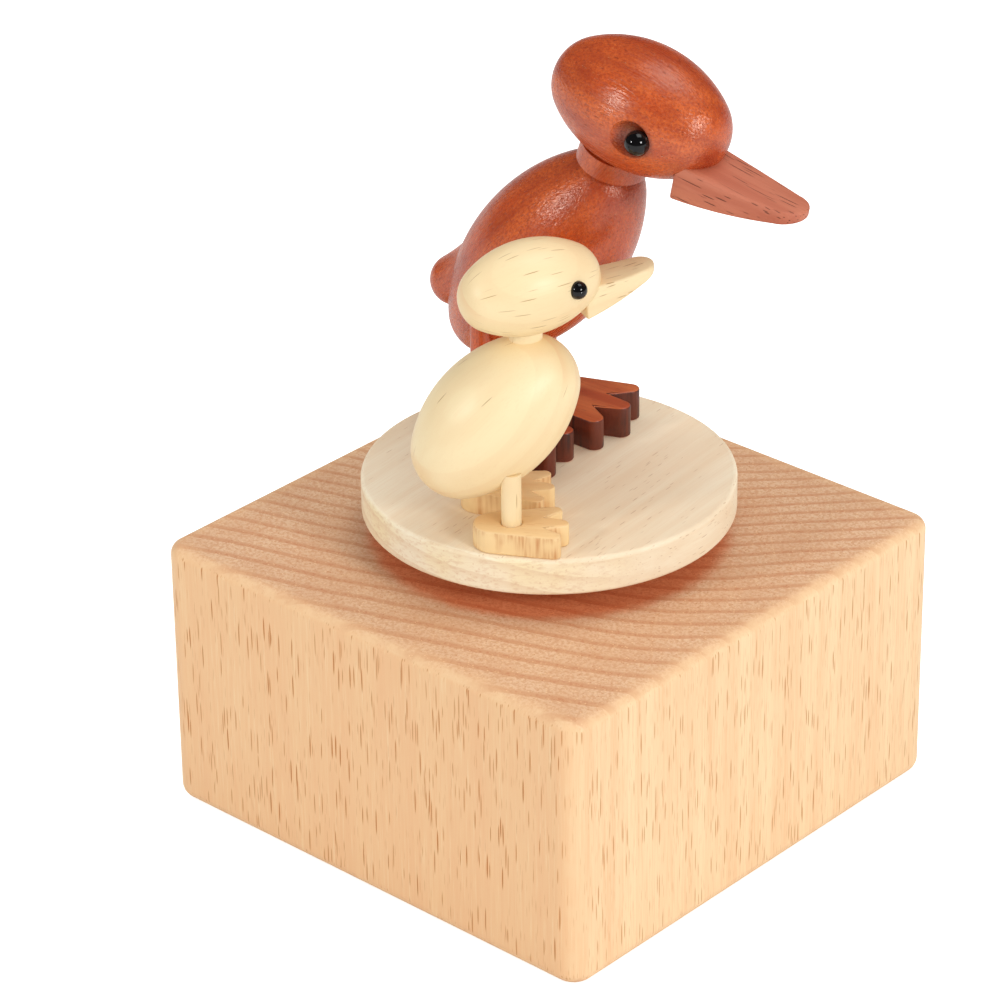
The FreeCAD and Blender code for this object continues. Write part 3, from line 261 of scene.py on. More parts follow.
def makeFibres():
    want = fibrePattern
    tree, given, out = makeGroup("Fibres", [("Vector", "vector", None), ("Width", "float", 0.22)],
                                 ["Fine", "Broad", "Cloud"])
    thin = scaled(tree, given["Vector"], (1, 1, want["fineAlong"]))
    narrow = put(tree, "ShaderNodeVectorMath", {"operation": "SCALE"}, Vector=thin,
                 Scale=maths(tree, "DIVIDE", 1.0, given["Width"])).outputs["Vector"]
    broad = stretched(tree, given["Vector"], *want["broad"])
    tree.links.new(noise(tree, narrow, detail=3.0, roughness=0.6), out["Fine"])
    tree.links.new(noise(tree, broad, detail=3.0, roughness=0.55), out["Broad"])
    tree.links.new(noise(tree, stretched(tree, given["Vector"], *want["cloud"])), out["Cloud"])
    return tree


fleckPattern = {
    "bendOver": (4.0, 9.0),
    "bend": (0.3, -0.25),
    "size": (0.72, 0.4),  # of the smallest fleck, and what chance adds to it
    "depth": (0.5, 0.5),
    "core": 0.6,
}


def makeFlecks():
    want = fleckPattern
    tree, given, out = makeGroup("Flecks", [
        ("Vector", "vector", None), ("Apart", "float", 0.7), ("Stretch", "float", 8.0),
        ("Size", "float", 0.18), ("Share", "float", 0.7),
    ], ["Fleck"])
    bend = noise(tree, stretched(tree, given["Vector"], *want["bendOver"]), detail=1.0)
    bentX, bentY = (times(tree, bend, amount) for amount in want["bend"])
    bent = put(tree, "ShaderNodeCombineXYZ", X=bentX, Y=bentY).outputs[0]
    thinner = maths(tree, "DIVIDE", 1.0, given["Stretch"])
    squash = put(tree, "ShaderNodeCombineXYZ", X=1.0, Y=1.0, Z=thinner).outputs[0]
    vector = scaled(tree, vectorMaths(tree, "ADD", given["Vector"], bent), squash)
    cells = put(tree, "ShaderNodeTexVoronoi", Vector=vector, Scale=maths(tree, "DIVIDE", 1.0, given["Apart"]),
                Randomness=1.0).outputs
    random = split(tree, cells["Color"])
    leastSize, moreSize = want["size"]
    size = times(tree, given["Size"], plus(tree, leastSize, times(tree, random["Y"], moreSize)))
    spot = fade(tree, cells["Distance"], times(tree, size, want["core"]), size, 1.0, 0.0)
    kept = maths(tree, "LESS_THAN", random["X"], given["Share"])
    leastDepth, moreDepth = want["depth"]
    deep = plus(tree, leastDepth, times(tree, random["Z"], moreDepth))
    tree.links.new(times(tree, times(tree, spot, kept), deep), out["Fleck"])
    return tree


def makeEndGrain():
    tree, given, out = makeGroup("End grain", [
        ("Normal", "vector", None), ("Grain", "vector", (0, 0, 1)),
        ("Low", "float", 0.55), ("High", "float", 0.93),
    ], ["Mask"])
    facing = maths(tree, "ABSOLUTE", vectorMaths(tree, "DOT_PRODUCT", given["Normal"], given["Grain"]))
    tree.links.new(fade(tree, facing, given["Low"], given["High"]), out["Mask"])
    return tree


specklePattern = {"dot": (0.15, 0.5, 1.0, 0.0), "lightShare": (0.72, 0.9), "darkShare": (0.78, 0.95)}


def makeSpeckle():
    want = specklePattern
    tree, given, out = makeGroup("Speckle", [("Vector", "vector", None), ("Grain size", "float", 0.22)],
                                 ["Light", "Dark"])
    scale = maths(tree, "DIVIDE", 1.0, given["Grain size"])
    cells = put(tree, "ShaderNodeTexVoronoi", Vector=given["Vector"], Scale=scale).outputs
    random = split(tree, cells["Color"])
    dot = fade(tree, cells["Distance"], *want["dot"])
    tree.links.new(times(tree, dot, fade(tree, random["X"], *want["lightShare"])), out["Light"])
    tree.links.new(times(tree, dot, fade(tree, random["Y"], *want["darkShare"])), out["Dark"])
    return tree


growthRings = makeGrowthRings()
fibres = makeFibres()
flecks = makeFlecks()
endGrain = makeEndGrain()
speckle = makeSpeckle()
print("shader groups made")


# one direction of grain for each piece: heading in the floor plane and tilt above it, in degrees
def grainAxis(heading, tilt):
    level = math.cos(math.radians(tilt))
    turn = math.radians(heading)
    return Vector((level * math.cos(turn), level * math.sin(turn), math.sin(math.radians(tilt))))


millimetres = 1000


# gives the place in millimetres with Z along the grain, and the normal, which isn't turned
def startMaterial(name, heading=0.0, tilt=90.0, centre=(0, 0, 0)):
    material = bpy.data.materials.new(name)
    material.use_nodes = True
    tree = material.node_tree
    place3d = put(tree, "ShaderNodeTexCoord").outputs
    lay = Matrix.Rotation(math.radians(tilt - 90.0), 3, "Y") @ Matrix.Rotation(math.radians(-heading), 3, "Z")
    shift = lay @ Vector(centre) * -millimetres
    mapping = put(tree, "ShaderNodeMapping", {"vector_type": "POINT"}, Vector=place3d["Object"],
                  Location=tuple(shift), Rotation=tuple(lay.to_euler("XYZ")), Scale=(millimetres,) * 3)
    return material, tree, mapping.outputs[0], place3d["Normal"]


def objectPlace(tree):
    return scaled(tree, put(tree, "ShaderNodeTexCoord").outputs["Object"], (millimetres,) * 3)


def levelness(tree, normal):
    return maths(tree, "ABSOLUTE", split(tree, normal)["Z"])


def middleOf(name):
    low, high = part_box(name)
    return (low + high) / 2


# bump is a depth in metres and a strength
def finishMaterial(material, colour, roughness, height=None, bump=(), **constants):
    tree = material.node_tree
    shader = tree.nodes["Principled BSDF"]
    feed(tree, shader.inputs["Base Color"], colour)
    feed(tree, shader.inputs["Roughness"], roughness)
    if height is not None:
        depth, strength = bump
        bumps = put(tree, "ShaderNodeBump", Height=height, Distance=depth, Strength=strength)
        tree.links.new(bumps.outputs[0], shader.inputs["Normal"])
    for key, value in constants.items():
        feed(tree, shader.inputs[key.replace("_", " ")], value)
    return material


def dress(material, *names):
    for name in names:
        slots = nodes[name].data.materials
        slots.clear()
        slots.append(material)


# beech block: upright grain, so its top is end grain; its growth rings bend once, along an axis across the top
blockWood = {
    "sideLight": (0.89, 0.57, 0.305),
    "sidePale": (0.94, 0.68, 0.40),
    "sideDark": (0.86, 0.50, 0.26),
    "fleck": (0.50, 0.165, 0.024),
    "topLight": (0.80, 0.53, 0.33),
    "topDark": (0.66, 0.345, 0.18),
    "topLine": (0.56, 0.21, 0.085),
    # painted shadow under the disc: its tint, where it fades out, and how uneven its edge is
    "discShadowTint": (0.98, 0.56, 0.42),
    "discShadowEnd": (20.6, 22.9),
    "discShadowUneven": 4.0,
    "edge": (0.90, 0.62, 0.35),
    "rubbed": (0.88, 0.55, 0.29),
    "ringHeading": -57.0,
    "bendAt": (24, -10, 0),
    "bend": 0.263,
    "bendRound": 8.0,
    "centreYears": 0.4147,
    "slowing": 0.0016,
    "ringSpacing": 2.4,
    "farPith": (-5000, 0, 0),
    "ringLine": {"Wobble": 0.45, "Line": 0.1},
    "ringTone": (0.6, 0.4),  # of the faintest ring, and what chance adds to it
    "fibreWidth": 0.24,
    "dashes": {"Apart": 0.36, "Stretch": 16.5, "Size": 0.31},
    "dashShare": (0.3, 0.7, 0.76, 0.92),
    "facingShare": (0.3, 0.9, 1.0, 0.56),  # right and left sides show fewer and fainter dashes
    "facingDepth": (0.3, 0.9, 1.0, 0.8),
    "dashesEnd": {"Low": 0.25, "High": 0.7},
    "faintDashes": {"Apart": 0.24, "Stretch": 14.0, "Size": 0.3, "Share": 0.6},
    "faintDashesAt": (31, 17, 5),
    "scratches": {"Apart": 0.3, "Stretch": 22.0, "Size": 0.2, "Share": 0.5},
    "speckle": {"Grain_size": 0.28},
    "fuzz": (2.2, 3.0, 0.7),
    "unevenness": 0.3,
    "unevenScale": 0.5,
    "topLow": (0.15, 0.2),  # where the top begins on the rounded edge, and how far each ring moves that
    "topHigh": (0.98, 0.1),
    "lateFade": (0.5, 0.85, 0.0, 0.8),
    "lateFuzz": (0.3, 0.6, 1.0, 0.5),
    "side": [
        ("facing", 0.3, 0.9, "sidePale"),
        ("Broad", 0.35, 0.8, 0.0, 0.6, "sideDark"),
        ("line", 0.3, "sideDark"),
        ("Fine", 0.45, 0.7, 0.0, 0.5, "sideDark"),
        ("Fine", 0.25, 0.45, 0.6, 0.0, "sidePale"),
        ("faintDash", 0.3, "fleck"),
        ("dash", "fleck"),
    ],
    "top": [
        ("Cloud", 0.3, 0.75, 0.0, 0.4, "topDark"),
        ("line", 0.4, "topDark"),
        ("late", "topLine"),
        ("fuzz", 0.42, 0.6, 0.0, 0.8, "topDark"),
        ("Ray", 0.12, "edge"),
        ("scratch", 0.35, "edge"),
        ("Light", 0.7, "edge"),
        ("Dark", 0.8, "topLine"),
    ],
    "topEdge": [("outer", 30.0, 33.6, 0.0, 0.55, "rubbed")],
    "topEdgeUneven": 6.0,
    "sharpness": (0.86, 0.992, 1.0, 0.0),
    "wornScale": 0.35,
    "worn": (0.45, 0.6, 0.1, 0.45),
    "roughness": (0.2, 0.8, 0.40, 0.56),
    "fuzzHeight": 0.5,
    "bump": (0.00002, 0.3),
    "specular": 0.35,
}


def bentRings(tree, at):
    want = blockWood
    outward = math.radians(want["ringHeading"])
    apart = vectorMaths(tree, "SUBTRACT", at, want["bendAt"])
    across = vectorMaths(tree, "DOT_PRODUCT", at, (math.cos(outward), math.sin(outward), 0))
    along = vectorMaths(tree, "DOT_PRODUCT", apart, (-math.sin(outward), math.cos(outward), 0))
    bow = maths(tree, "SQRT", plus(tree, times(tree, along, along), want["bendRound"] ** 2))
    reach = plus(tree, across, times(tree, bow, want["bend"]))
    slow = minus(tree, want["centreYears"], times(tree, reach, want["slowing"]))
    years = times(tree, times(tree, reach, slow), want["ringSpacing"])
    lean = times(tree, maths(tree, "DIVIDE", along, bow), times(tree, across, want["bend"]))
    bent = put(tree, "ShaderNodeCombineXYZ", X=years, Y=minus(tree, along, lean), Z=split(tree, at)["Z"])
    return bent.outputs[0]


# sanding marks: flecks laid flat, along X and along Y
def crossedScratches(tree, at, want):
    found = []
    for axis in ((1, 0, 0), (0, 1, 0)):
        turned = put(tree, "ShaderNodeVectorRotate", {"rotation_type": "AXIS_ANGLE"},
                     Vector=at, Axis=axis, Angle=math.pi / 2).outputs[0]
        found.append(place(tree, flecks, Vector=turned, **want)["Fleck"])
    return maths(tree, "MAXIMUM", *found)


def makeBlockWood():
    want = blockWood
    material, tree, at, normal = startMaterial("beechBlock")
    rings = place(tree, growthRings, Vector=bentRings(tree, at), Pith=want["farPith"],
                  Spacing=want["ringSpacing"], **want["ringLine"])
    fibre = place(tree, fibres, Vector=at, Width=want["fibreWidth"])
    masks = {**rings, **fibre, **place(tree, speckle, Vector=at, **want["speckle"])}
    faintest, chance = want["ringTone"]
    line = times(tree, rings["Ring"], plus(tree, faintest, times(tree, rings["Tone"], chance)))
    facing = maths(tree, "ABSOLUTE", split(tree, normal)["X"])
    crowd = times(tree, fade(tree, fibre["Broad"], *want["dashShare"]),
                  fade(tree, facing, *want["facingShare"]))
    dash = place(tree, flecks, Vector=at, Share=crowd, **want["dashes"])["Fleck"]
    upright = place(tree, endGrain, Normal=normal, **want["dashesEnd"])["Mask"]
    plain = times(tree, fade(tree, facing, *want["facingDepth"]), minus(tree, 1.0, upright))
    elsewhere = vectorMaths(tree, "ADD", at, want["faintDashesAt"])
    fuzz = noise(tree, at, *want["fuzz"])
    uneven = times(tree, noise(tree, at, want["unevenScale"], detail=1.0), want["unevenness"])
    size = split(tree, vectorMaths(tree, "ABSOLUTE", at))
    masks.update({
        "line": line,
        "facing": facing,
        "dash": times(tree, dash, plain),
        "faintDash": place(tree, flecks, Vector=elsewhere, **want["faintDashes"])["Fleck"],
        "scratch": crossedScratches(tree, at, want["scratches"]),
        "fuzz": fuzz,
        "late": times(tree, fade(tree, rings["Ring"], *want["lateFade"]), fade(tree, fuzz, *want["lateFuzz"])),
        "outer": plus(tree, maths(tree, "MAXIMUM", size["X"], size["Y"]),
                      times(tree, uneven, want["topEdgeUneven"])),
    })
    side = paint(tree, want["sideLight"], masks, want, want["side"])
    face = paint(tree, want["topLight"], masks, want, want["top"])
    # painted shadow: the top is darker and redder under the disc's edge, where the disc's shadow falls
    reach = vectorMaths(tree, "LENGTH", scaled(tree, at, (1, 1, 0)))
    reach = plus(tree, reach, times(tree, uneven, want["discShadowUneven"]))
    shaded = blend(tree, 1.0, face, want["discShadowTint"], "MULTIPLY")
    face = blend(tree, fade(tree, reach, *want["discShadowEnd"]), shaded, face)
    face = paint(tree, face, masks, want, want["topEdge"])
    low, lowMoved = want["topLow"]
    high, highMoved = want["topHigh"]
    top = place(tree, endGrain, Normal=normal,
                Low=minus(tree, plus(tree, low, uneven), times(tree, line, lowMoved)),
                High=minus(tree, high, times(tree, line, highMoved)))["Mask"]
    colour = blend(tree, top, side, face)
    # rounded edges, where no side of the block is square to the normal
    turned = split(tree, vectorMaths(tree, "ABSOLUTE", normal))
    most = maths(tree, "MAXIMUM", maths(tree, "MAXIMUM", turned["X"], turned["Y"]), turned["Z"])
    worn = fade(tree, noise(tree, at, want["wornScale"], detail=1.5), *want["worn"])
    colour = blend(tree, times(tree, fade(tree, most, *want["sharpness"]), worn), colour, want["edge"])
    height = minus(tree, times(tree, fuzz, want["fuzzHeight"]), fibre["Fine"])
    return finishMaterial(material, colour, fade(tree, fibre["Fine"], *want["roughness"]), height, want["bump"],
                          Specular_IOR_Level=want["specular"])


# turning disc: very pale wood with its grain nearly along Y
discWood = {
    "light": (0.96, 0.85, 0.64),
    "dark": (0.88, 0.70, 0.48),
    "fleck": (0.52, 0.30, 0.15),
    "rim": (0.94, 0.80, 0.52),
    "rimDark": (0.74, 0.50, 0.29),
    "heading": 96.0,
    "rings": {"Pith": (80, 15, 0), "Spacing": 2.3, "Wobble": 0.6, "Line": 0.2},
    "fibreWidth": 0.2,
    "dashes": {"Apart": 0.26, "Stretch": 11.0, "Size": 0.25},
    "dashShare": (0.3, 0.7, 0.2, 0.8),
    "ends": {"Low": 0.35, "High": 0.8},
    "speckle": {"Grain_size": 0.34},
    "mottleScale": (2.4, 0.9, 1.0),
    "flat": [
        ("Broad", 0.3, 0.75, "dark"),
        ("Fine", 0.45, 0.7, 0.0, 0.5, "dark"),
        ("dash", 0.65, "fleck"),
    ],
    "edge": [
        ("Cloud", 0.35, 0.7, "light"),
        ("mottle", 0.45, 0.7, 0.0, 0.5, "rimDark"),
        ("Dark", 0.5, "rimDark"),
        ("Ring", 0.35, "rimDark"),
        ("Ray", 0.35, "rimDark"),
    ],
    "roughness": (0.2, 0.8, 0.55, 0.70),
    "fineDent": 0.5,
    "bump": (0.00005, 0.5),
}


def makeDiscWood():
    want = discWood
    material, tree, at, normal = startMaterial("paleDisc", want["heading"], 0.0)
    fibre = place(tree, fibres, Vector=at, Width=want["fibreWidth"])
    masks = {**fibre, **place(tree, growthRings, Vector=at, **want["rings"]),
             **place(tree, speckle, Vector=at, **want["speckle"])}
    crowd = fade(tree, fibre["Broad"], *want["dashShare"])
    masks["dash"] = place(tree, flecks, Vector=at, Share=crowd, **want["dashes"])["Fleck"]
    masks["mottle"] = noise(tree, scaled(tree, at, want["mottleScale"]), detail=3.0, roughness=0.65)
    grain = tuple(grainAxis(want["heading"], 0.0))
    end = place(tree, endGrain, Normal=normal, Grain=grain, **want["ends"])["Mask"]
    flat = paint(tree, want["light"], masks, want, want["flat"])
    edge = paint(tree, want["rim"], masks, want, want["edge"])
    height = minus(tree, 1.0, times(tree, fibre["Fine"], want["fineDent"]))
    return finishMaterial(material, blend(tree, end, flat, edge), fade(tree, fibre["Fine"], *want["roughness"]),
                          height, want["bump"])


# duckling: pale satin wood
paleWood = {
    "light": (0.95, 0.78, 0.47),
    "dark": (0.89, 0.67, 0.37),
    "blush": (0.87, 0.60, 0.32),
    "fleck": (0.42, 0.23, 0.07),
    "girth": 7.0,  # millimetres that one radian of a curved piece counts as
    "skinAt": 0.3,
    "rings": {"Pith": (38, 24, 0), "Spacing": 2.6, "Wobble": 0.6, "Line": 0.2},
    "arc": (0.18, 0.5),  # ring strength on long grain, and what end grain adds to it
    "fibreWidth": 0.2,
    "dashes": {"Apart": 0.42, "Stretch": 13.0, "Size": 0.24},
    "ends": {"Low": 0.5, "High": 0.95},
    "endTan": 0.6,
    "coats": [
        ("Broad", 0.35, 0.75, 0.1, 0.5, "dark"),
        ("Cloud", 0.5, 0.8, 0.0, 0.3, "blush"),
        ("tan", "dark"),
        ("arc", "blush"),
        ("endRay", 0.3, "dark"),
        ("Fine", 0.5, 0.85, 0.0, 0.35, "blush"),
        ("dash", 0.9, "fleck"),
    ],
    "roughness": (0.2, 0.8, 0.36, 0.52),
    "fineDent": 0.3,
    "bump": (0.00003, 0.4),
    "coatWeight": 0.1,
    "coatRoughness": 0.3,
}


# on a curved piece the dashes follow its skin, and tan darkens it all over
def makePaleWood(name, heading, tilt, node, dashes=0.5, curved=False, tan=0.0):
    want = paleWood
    material, tree, at, normal = startMaterial(name, heading, tilt, middleOf(node))
    rings = place(tree, growthRings, Vector=at, **want["rings"])
    fibre = place(tree, fibres, Vector=at, Width=want["fibreWidth"])
    dashAt = at
    if curved:
        apart = split(tree, at)
        around = times(tree, maths(tree, "ARCTAN2", apart["Y"], apart["X"]), want["girth"])
        dashAt = put(tree, "ShaderNodeCombineXYZ", X=around, Y=want["skinAt"], Z=apart["Z"]).outputs[0]
    dash = place(tree, flecks, Vector=dashAt, Share=dashes, **want["dashes"])["Fleck"]
    end = place(tree, endGrain, Normal=normal, Grain=tuple(grainAxis(heading, tilt)), **want["ends"])["Mask"]
    dash = times(tree, dash, minus(tree, 1.0, end))
    longArc, endArc = want["arc"]
    masks = {
        **fibre,
        "tan": fade(tree, end, 0.0, 1.0, tan, want["endTan"]),
        "arc": times(tree, rings["Ring"], plus(tree, longArc, times(tree, end, endArc))),
        "endRay": times(tree, rings["Ray"], end),
        "dash": dash,
    }
    colour = paint(tree, want["light"], masks, want, want["coats"])
    height = dented(tree, dash, times(tree, fibre["Fine"], want["fineDent"]))
    return finishMaterial(material, colour, fade(tree, fibre["Fine"], *want["roughness"]), height, want["bump"],
                          Coat_Weight=want["coatWeight"], Coat_Roughness=want["coatRoughness"])


# mother duck: red-brown stain under a satin varnish
stainedWood = {
    "light": (0.74, 0.142, 0.026),
    "dark": (0.37, 0.040, 0.009),
    "glow": (0.70, 0.098, 0.012),
    "bright": (0.76, 0.26, 0.09),
    "fleck": (0.17, 0.026, 0.010),
    "rings": {"Pith": (46, -28, 0), "Spacing": 3.4, "Wobble": 0.8, "Line": 0.2},
    "fibreWidth": 0.2,
    "pores": {"Apart": 0.3, "Stretch": 6.0, "Size": 0.26, "Share": 0.55},
    "grit": (3.2, 4.0, 0.8),
    "coats": [
        ("Broad", 0.32, 0.72, "dark"),
        ("Cloud", 0.4, 0.7, 0.0, 0.75, "glow"),
        ("Ring", 0.3, "dark"),
        ("grit", 0.42, 0.6, 0.0, 0.75, "dark"),
        ("Fine", 0.45, 0.8, 0.0, 0.45, "dark"),
        ("Fine", 0.25, 0.42, 0.35, 0.0, "bright"),
        ("Dark", 0.3, "dark"),
        ("Light", 0.25, "bright"),
        ("pore", 0.45, "fleck"),
    ],
    # painted shade in the hollow behind each eye: its colour, the hollow's place and where the shade fades out
    "shadedHollow": (0.20, 0.020, 0.006),
    "pitBack": 0.6,  # millimetres from the bead's middle to the hollow's
    "shadedHollowEnd": (1.9, 2.6, 0.8, 0.0),
    "brushMark": (0.3, 2.2),
    "poreDent": 0.6,
    "roughness": (0.25, 0.8, 0.18, 0.37),
    "bump": (0.00009, 0.9),
    "specular": 1.0,
    "shine": (1.0, 0.86, 0.74),
}


def makeStainedWood(name, heading, tilt, node, eyes=()):
    want = stainedWood
    material, tree, at, _ = startMaterial(name, heading, tilt, middleOf(node))
    fibre = place(tree, fibres, Vector=at, Width=want["fibreWidth"])
    masks = {**fibre, **place(tree, growthRings, Vector=at, **want["rings"]), **place(tree, speckle, Vector=at)}
    masks["pore"] = place(tree, flecks, Vector=at, **want["pores"])["Fleck"]
    masks["grit"] = noise(tree, at, *want["grit"])
    colour = paint(tree, want["light"], masks, want, want["coats"])
    for eye in eyes:  # painted shade: the hollow behind each eye is darkened, as shade falls there
        shadedHollow = middleOf(eye) * millimetres - grainAxis(heading, tilt) * want["pitBack"]
        near = vectorMaths(tree, "DISTANCE", objectPlace(tree), tuple(shadedHollow))
        colour = blend(tree, fade(tree, near, *want["shadedHollowEnd"]), colour, want["shadedHollow"])
    brush = noise(tree, stretched(tree, at, *want["brushMark"]), detail=3.0, roughness=0.6)
    height = dented(tree, times(tree, masks["pore"], want["poreDent"]), brush)
    return finishMaterial(material, colour, fade(tree, fibre["Fine"], *want["roughness"]), height, want["bump"],
                          Specular_IOR_Level=want["specular"], Specular_Tint=want["shine"])


# mother's bill: thin stain over open pores
billWood = {
    "light": (0.60, 0.19, 0.105),
    "dark": (0.48, 0.12, 0.06),
    "fleck": (0.13, 0.026, 0.012),
    "fibreWidth": 0.3,
    "pores": {"Apart": 0.28, "Stretch": 36.0, "Size": 0.28, "Share": 1.1},
    "coats": [
        ("Broad", 0.35, 0.7, "dark"),
        ("Fine", 0.42, 0.8, 0.0, 0.45, "dark"),
        ("pore", "fleck"),
    ],
    "roughness": (0.25, 0.8, 0.45, 0.65),
    "fineDent": 0.4,
    "bump": (0.0001, 0.7),
}


def makeBillWood(name, heading, tilt):
    want = billWood
    material, tree, at, _ = startMaterial(name, heading, tilt, middleOf("mother_bill"))
    fibre = place(tree, fibres, Vector=at, Width=want["fibreWidth"])
    pore = place(tree, flecks, Vector=at, **want["pores"])["Fleck"]
    colour = paint(tree, want["light"], {**fibre, "pore": pore}, want, want["coats"])
    height = dented(tree, pore, times(tree, fibre["Fine"], want["fineDent"]))
    return finishMaterial(material, colour, fade(tree, fibre["Fine"], *want["roughness"]), height, want["bump"])


# feet: sanded tops, and sawn sides that are scorched in patches
motherFeet = {
    "material": "stainedFoot",
    "heading": 5.5,
    "top": (0.58, 0.15, 0.043),
    "topDark": (0.38, 0.062, 0.017),
    "side": (0.15, 0.026, 0.010),
    "scorch": (0.022, 0.007, 0.006),
    "roughness": 0.4,
}
ducklingFeet = {
    "material": "paleFoot",
    "heading": 37.0,
    "top": (0.93, 0.67, 0.35),
    "topDark": (0.84, 0.54, 0.25),
    "side": (0.92, 0.66, 0.33),
    "scorch": (0.56, 0.20, 0.05),
    "roughness": 0.5,
}
footGrain = {
    "fibreWidth": 0.22,
    "dashes": {"Apart": 0.28, "Stretch": 10.0, "Size": 0.24, "Share": 0.5},
    "streak": (0.4, 5.0),
    "patch": (2.6, 4.0),
    "patchFade": (0.38, 0.62),
    "sides": (0.45, 0.8, 1.0, 0.0),
    "flat": [
        ("Broad", 0.3, 0.7, "topDark"),
        ("Fine", 0.45, 0.8, 0.0, 0.4, "topDark"),
        ("dash", 0.4, "scorch"),
    ],
    "sawn": [("streak", 0.35, 0.75, 0.15, 0.85, "scorch")],
    "fineDent": 0.4,
    "bump": (0.00006, 0.5),
}


def makeFootWood(foot):
    want = footGrain
    material, tree, at, normal = startMaterial(foot["material"], foot["heading"], 0.0)
    fibre = place(tree, fibres, Vector=at, Width=want["fibreWidth"])
    dash = place(tree, flecks, Vector=at, **want["dashes"])["Fleck"]
    upright = objectPlace(tree)
    streak = noise(tree, stretched(tree, upright, *want["streak"]))
    patch = fade(tree, noise(tree, stretched(tree, upright, *want["patch"]), detail=1.5), *want["patchFade"])
    sides = fade(tree, levelness(tree, normal), *want["sides"])
    masks = {**fibre, "dash": dash, "streak": streak}
    flat = paint(tree, foot["top"], masks, foot, want["flat"])
    burnt = blend(tree, patch, foot["side"], paint(tree, foot["side"], masks, foot, want["sawn"]))
    height = dented(tree, times(tree, streak, sides), times(tree, fibre["Fine"], want["fineDent"]))
    return finishMaterial(material, blend(tree, sides, flat, burnt), foot["roughness"], height, want["bump"])


# square post: dark stained wood
postWood = {
    "light": (0.16, 0.055, 0.028),
    "dark": (0.07, 0.022, 0.012),
    "fleck": (0.02, 0.008, 0.005),
    "fibreWidth": 0.2,
    "pores": {"Apart": 0.5, "Stretch": 9.0, "Size": 0.2, "Share": 0.7},
    "coats": [("Fine", 0.3, 0.75, "dark"), ("pore", 0.7, "fleck")],
    "roughness": 0.45,
    "bump": (0.00006, 0.6),
}


def makePostWood():
    want = postWood
    material, tree, at, _ = startMaterial("darkPost")
    fibre = place(tree, fibres, Vector=at, Width=want["fibreWidth"])
    pore = place(tree, flecks, Vector=at, **want["pores"])["Fleck"]
    colour = paint(tree, want["light"], {**fibre, "pore": pore}, want, want["coats"])
    return finishMaterial(material, colour, want["roughness"], dented(tree, pore, fibre["Fine"]), want["bump"])


# eyes: polished black beads with a faint film of dust
beadGlass = {
    "black": (0.004, 0.0035, 0.004),
    "dust": (0.02, 0.015, 0.013),
    "cloud": (1.6, 3.0, 0.6),
    "coats": [("cloud", 0.5, 0.8, 0.0, 0.4, "dust")],
    "roughness": (0.3, 0.8, 0.04, 0.14),
    "specular": 0.4,
}


def makeBead():
    want = beadGlass
    material, tree, at, _ = startMaterial("blackBead")
    cloud = noise(tree, at, *want["cloud"])
    colour = paint(tree, want["black"], {"cloud": cloud}, want, want["coats"])
    return finishMaterial(material, colour, fade(tree, cloud, *want["roughness"]),
                          Specular_IOR_Level=want["specular"])


# bottom plate: thin veneered board
plateWood = {
    "light": (0.70, 0.48, 0.28),
    "dark": (0.55, 0.34, 0.18),
    "fleck": (0.30, 0.14, 0.06),
    "ply": (0.42, 0.25, 0.13),
    "pliesPerMillimetre": 1.2,
    "pliesShown": 0.5,
    "edgeFade": (0.4, 0.7, 1.0, 0.0),
    "fibreWidth": 0.3,
    "dashes": {"Apart": 0.7, "Stretch": 9.0, "Size": 0.19, "Share": 0.7},
    "coats": [
        ("Broad", 0.3, 0.7, "dark"),
        ("dash", 0.6, "fleck"),
        ("Fine", 0.45, 0.8, 0.0, 0.3, "fleck"),
        ("edge", "ply"),
    ],
    "roughness": (0.2, 0.8, 0.55, 0.7),
    "fineDent": 0.5,
    "bump": (0.00008, 0.7),
}


def makePlateWood():
    want = plateWood
    material, tree, at, normal = startMaterial("boardWood", 0.0, 0.0)
    fibre = place(tree, fibres, Vector=at, Width=want["fibreWidth"])
    dash = place(tree, flecks, Vector=at, **want["dashes"])["Fleck"]
    ply = maths(tree, "FRACT", times(tree, split(tree, objectPlace(tree))["Z"], want["pliesPerMillimetre"]))
    edge = times(tree, fade(tree, levelness(tree, normal), *want["edgeFade"]),
                 maths(tree, "GREATER_THAN", ply, want["pliesShown"]))
    colour = paint(tree, want["light"], {**fibre, "dash": dash, "edge": edge}, want, want["coats"])
    height = dented(tree, dash, times(tree, fibre["Fine"], want["fineDent"]))
    return finishMaterial(material, colour, fade(tree, fibre["Fine"], *want["roughness"]), height, want["bump"])


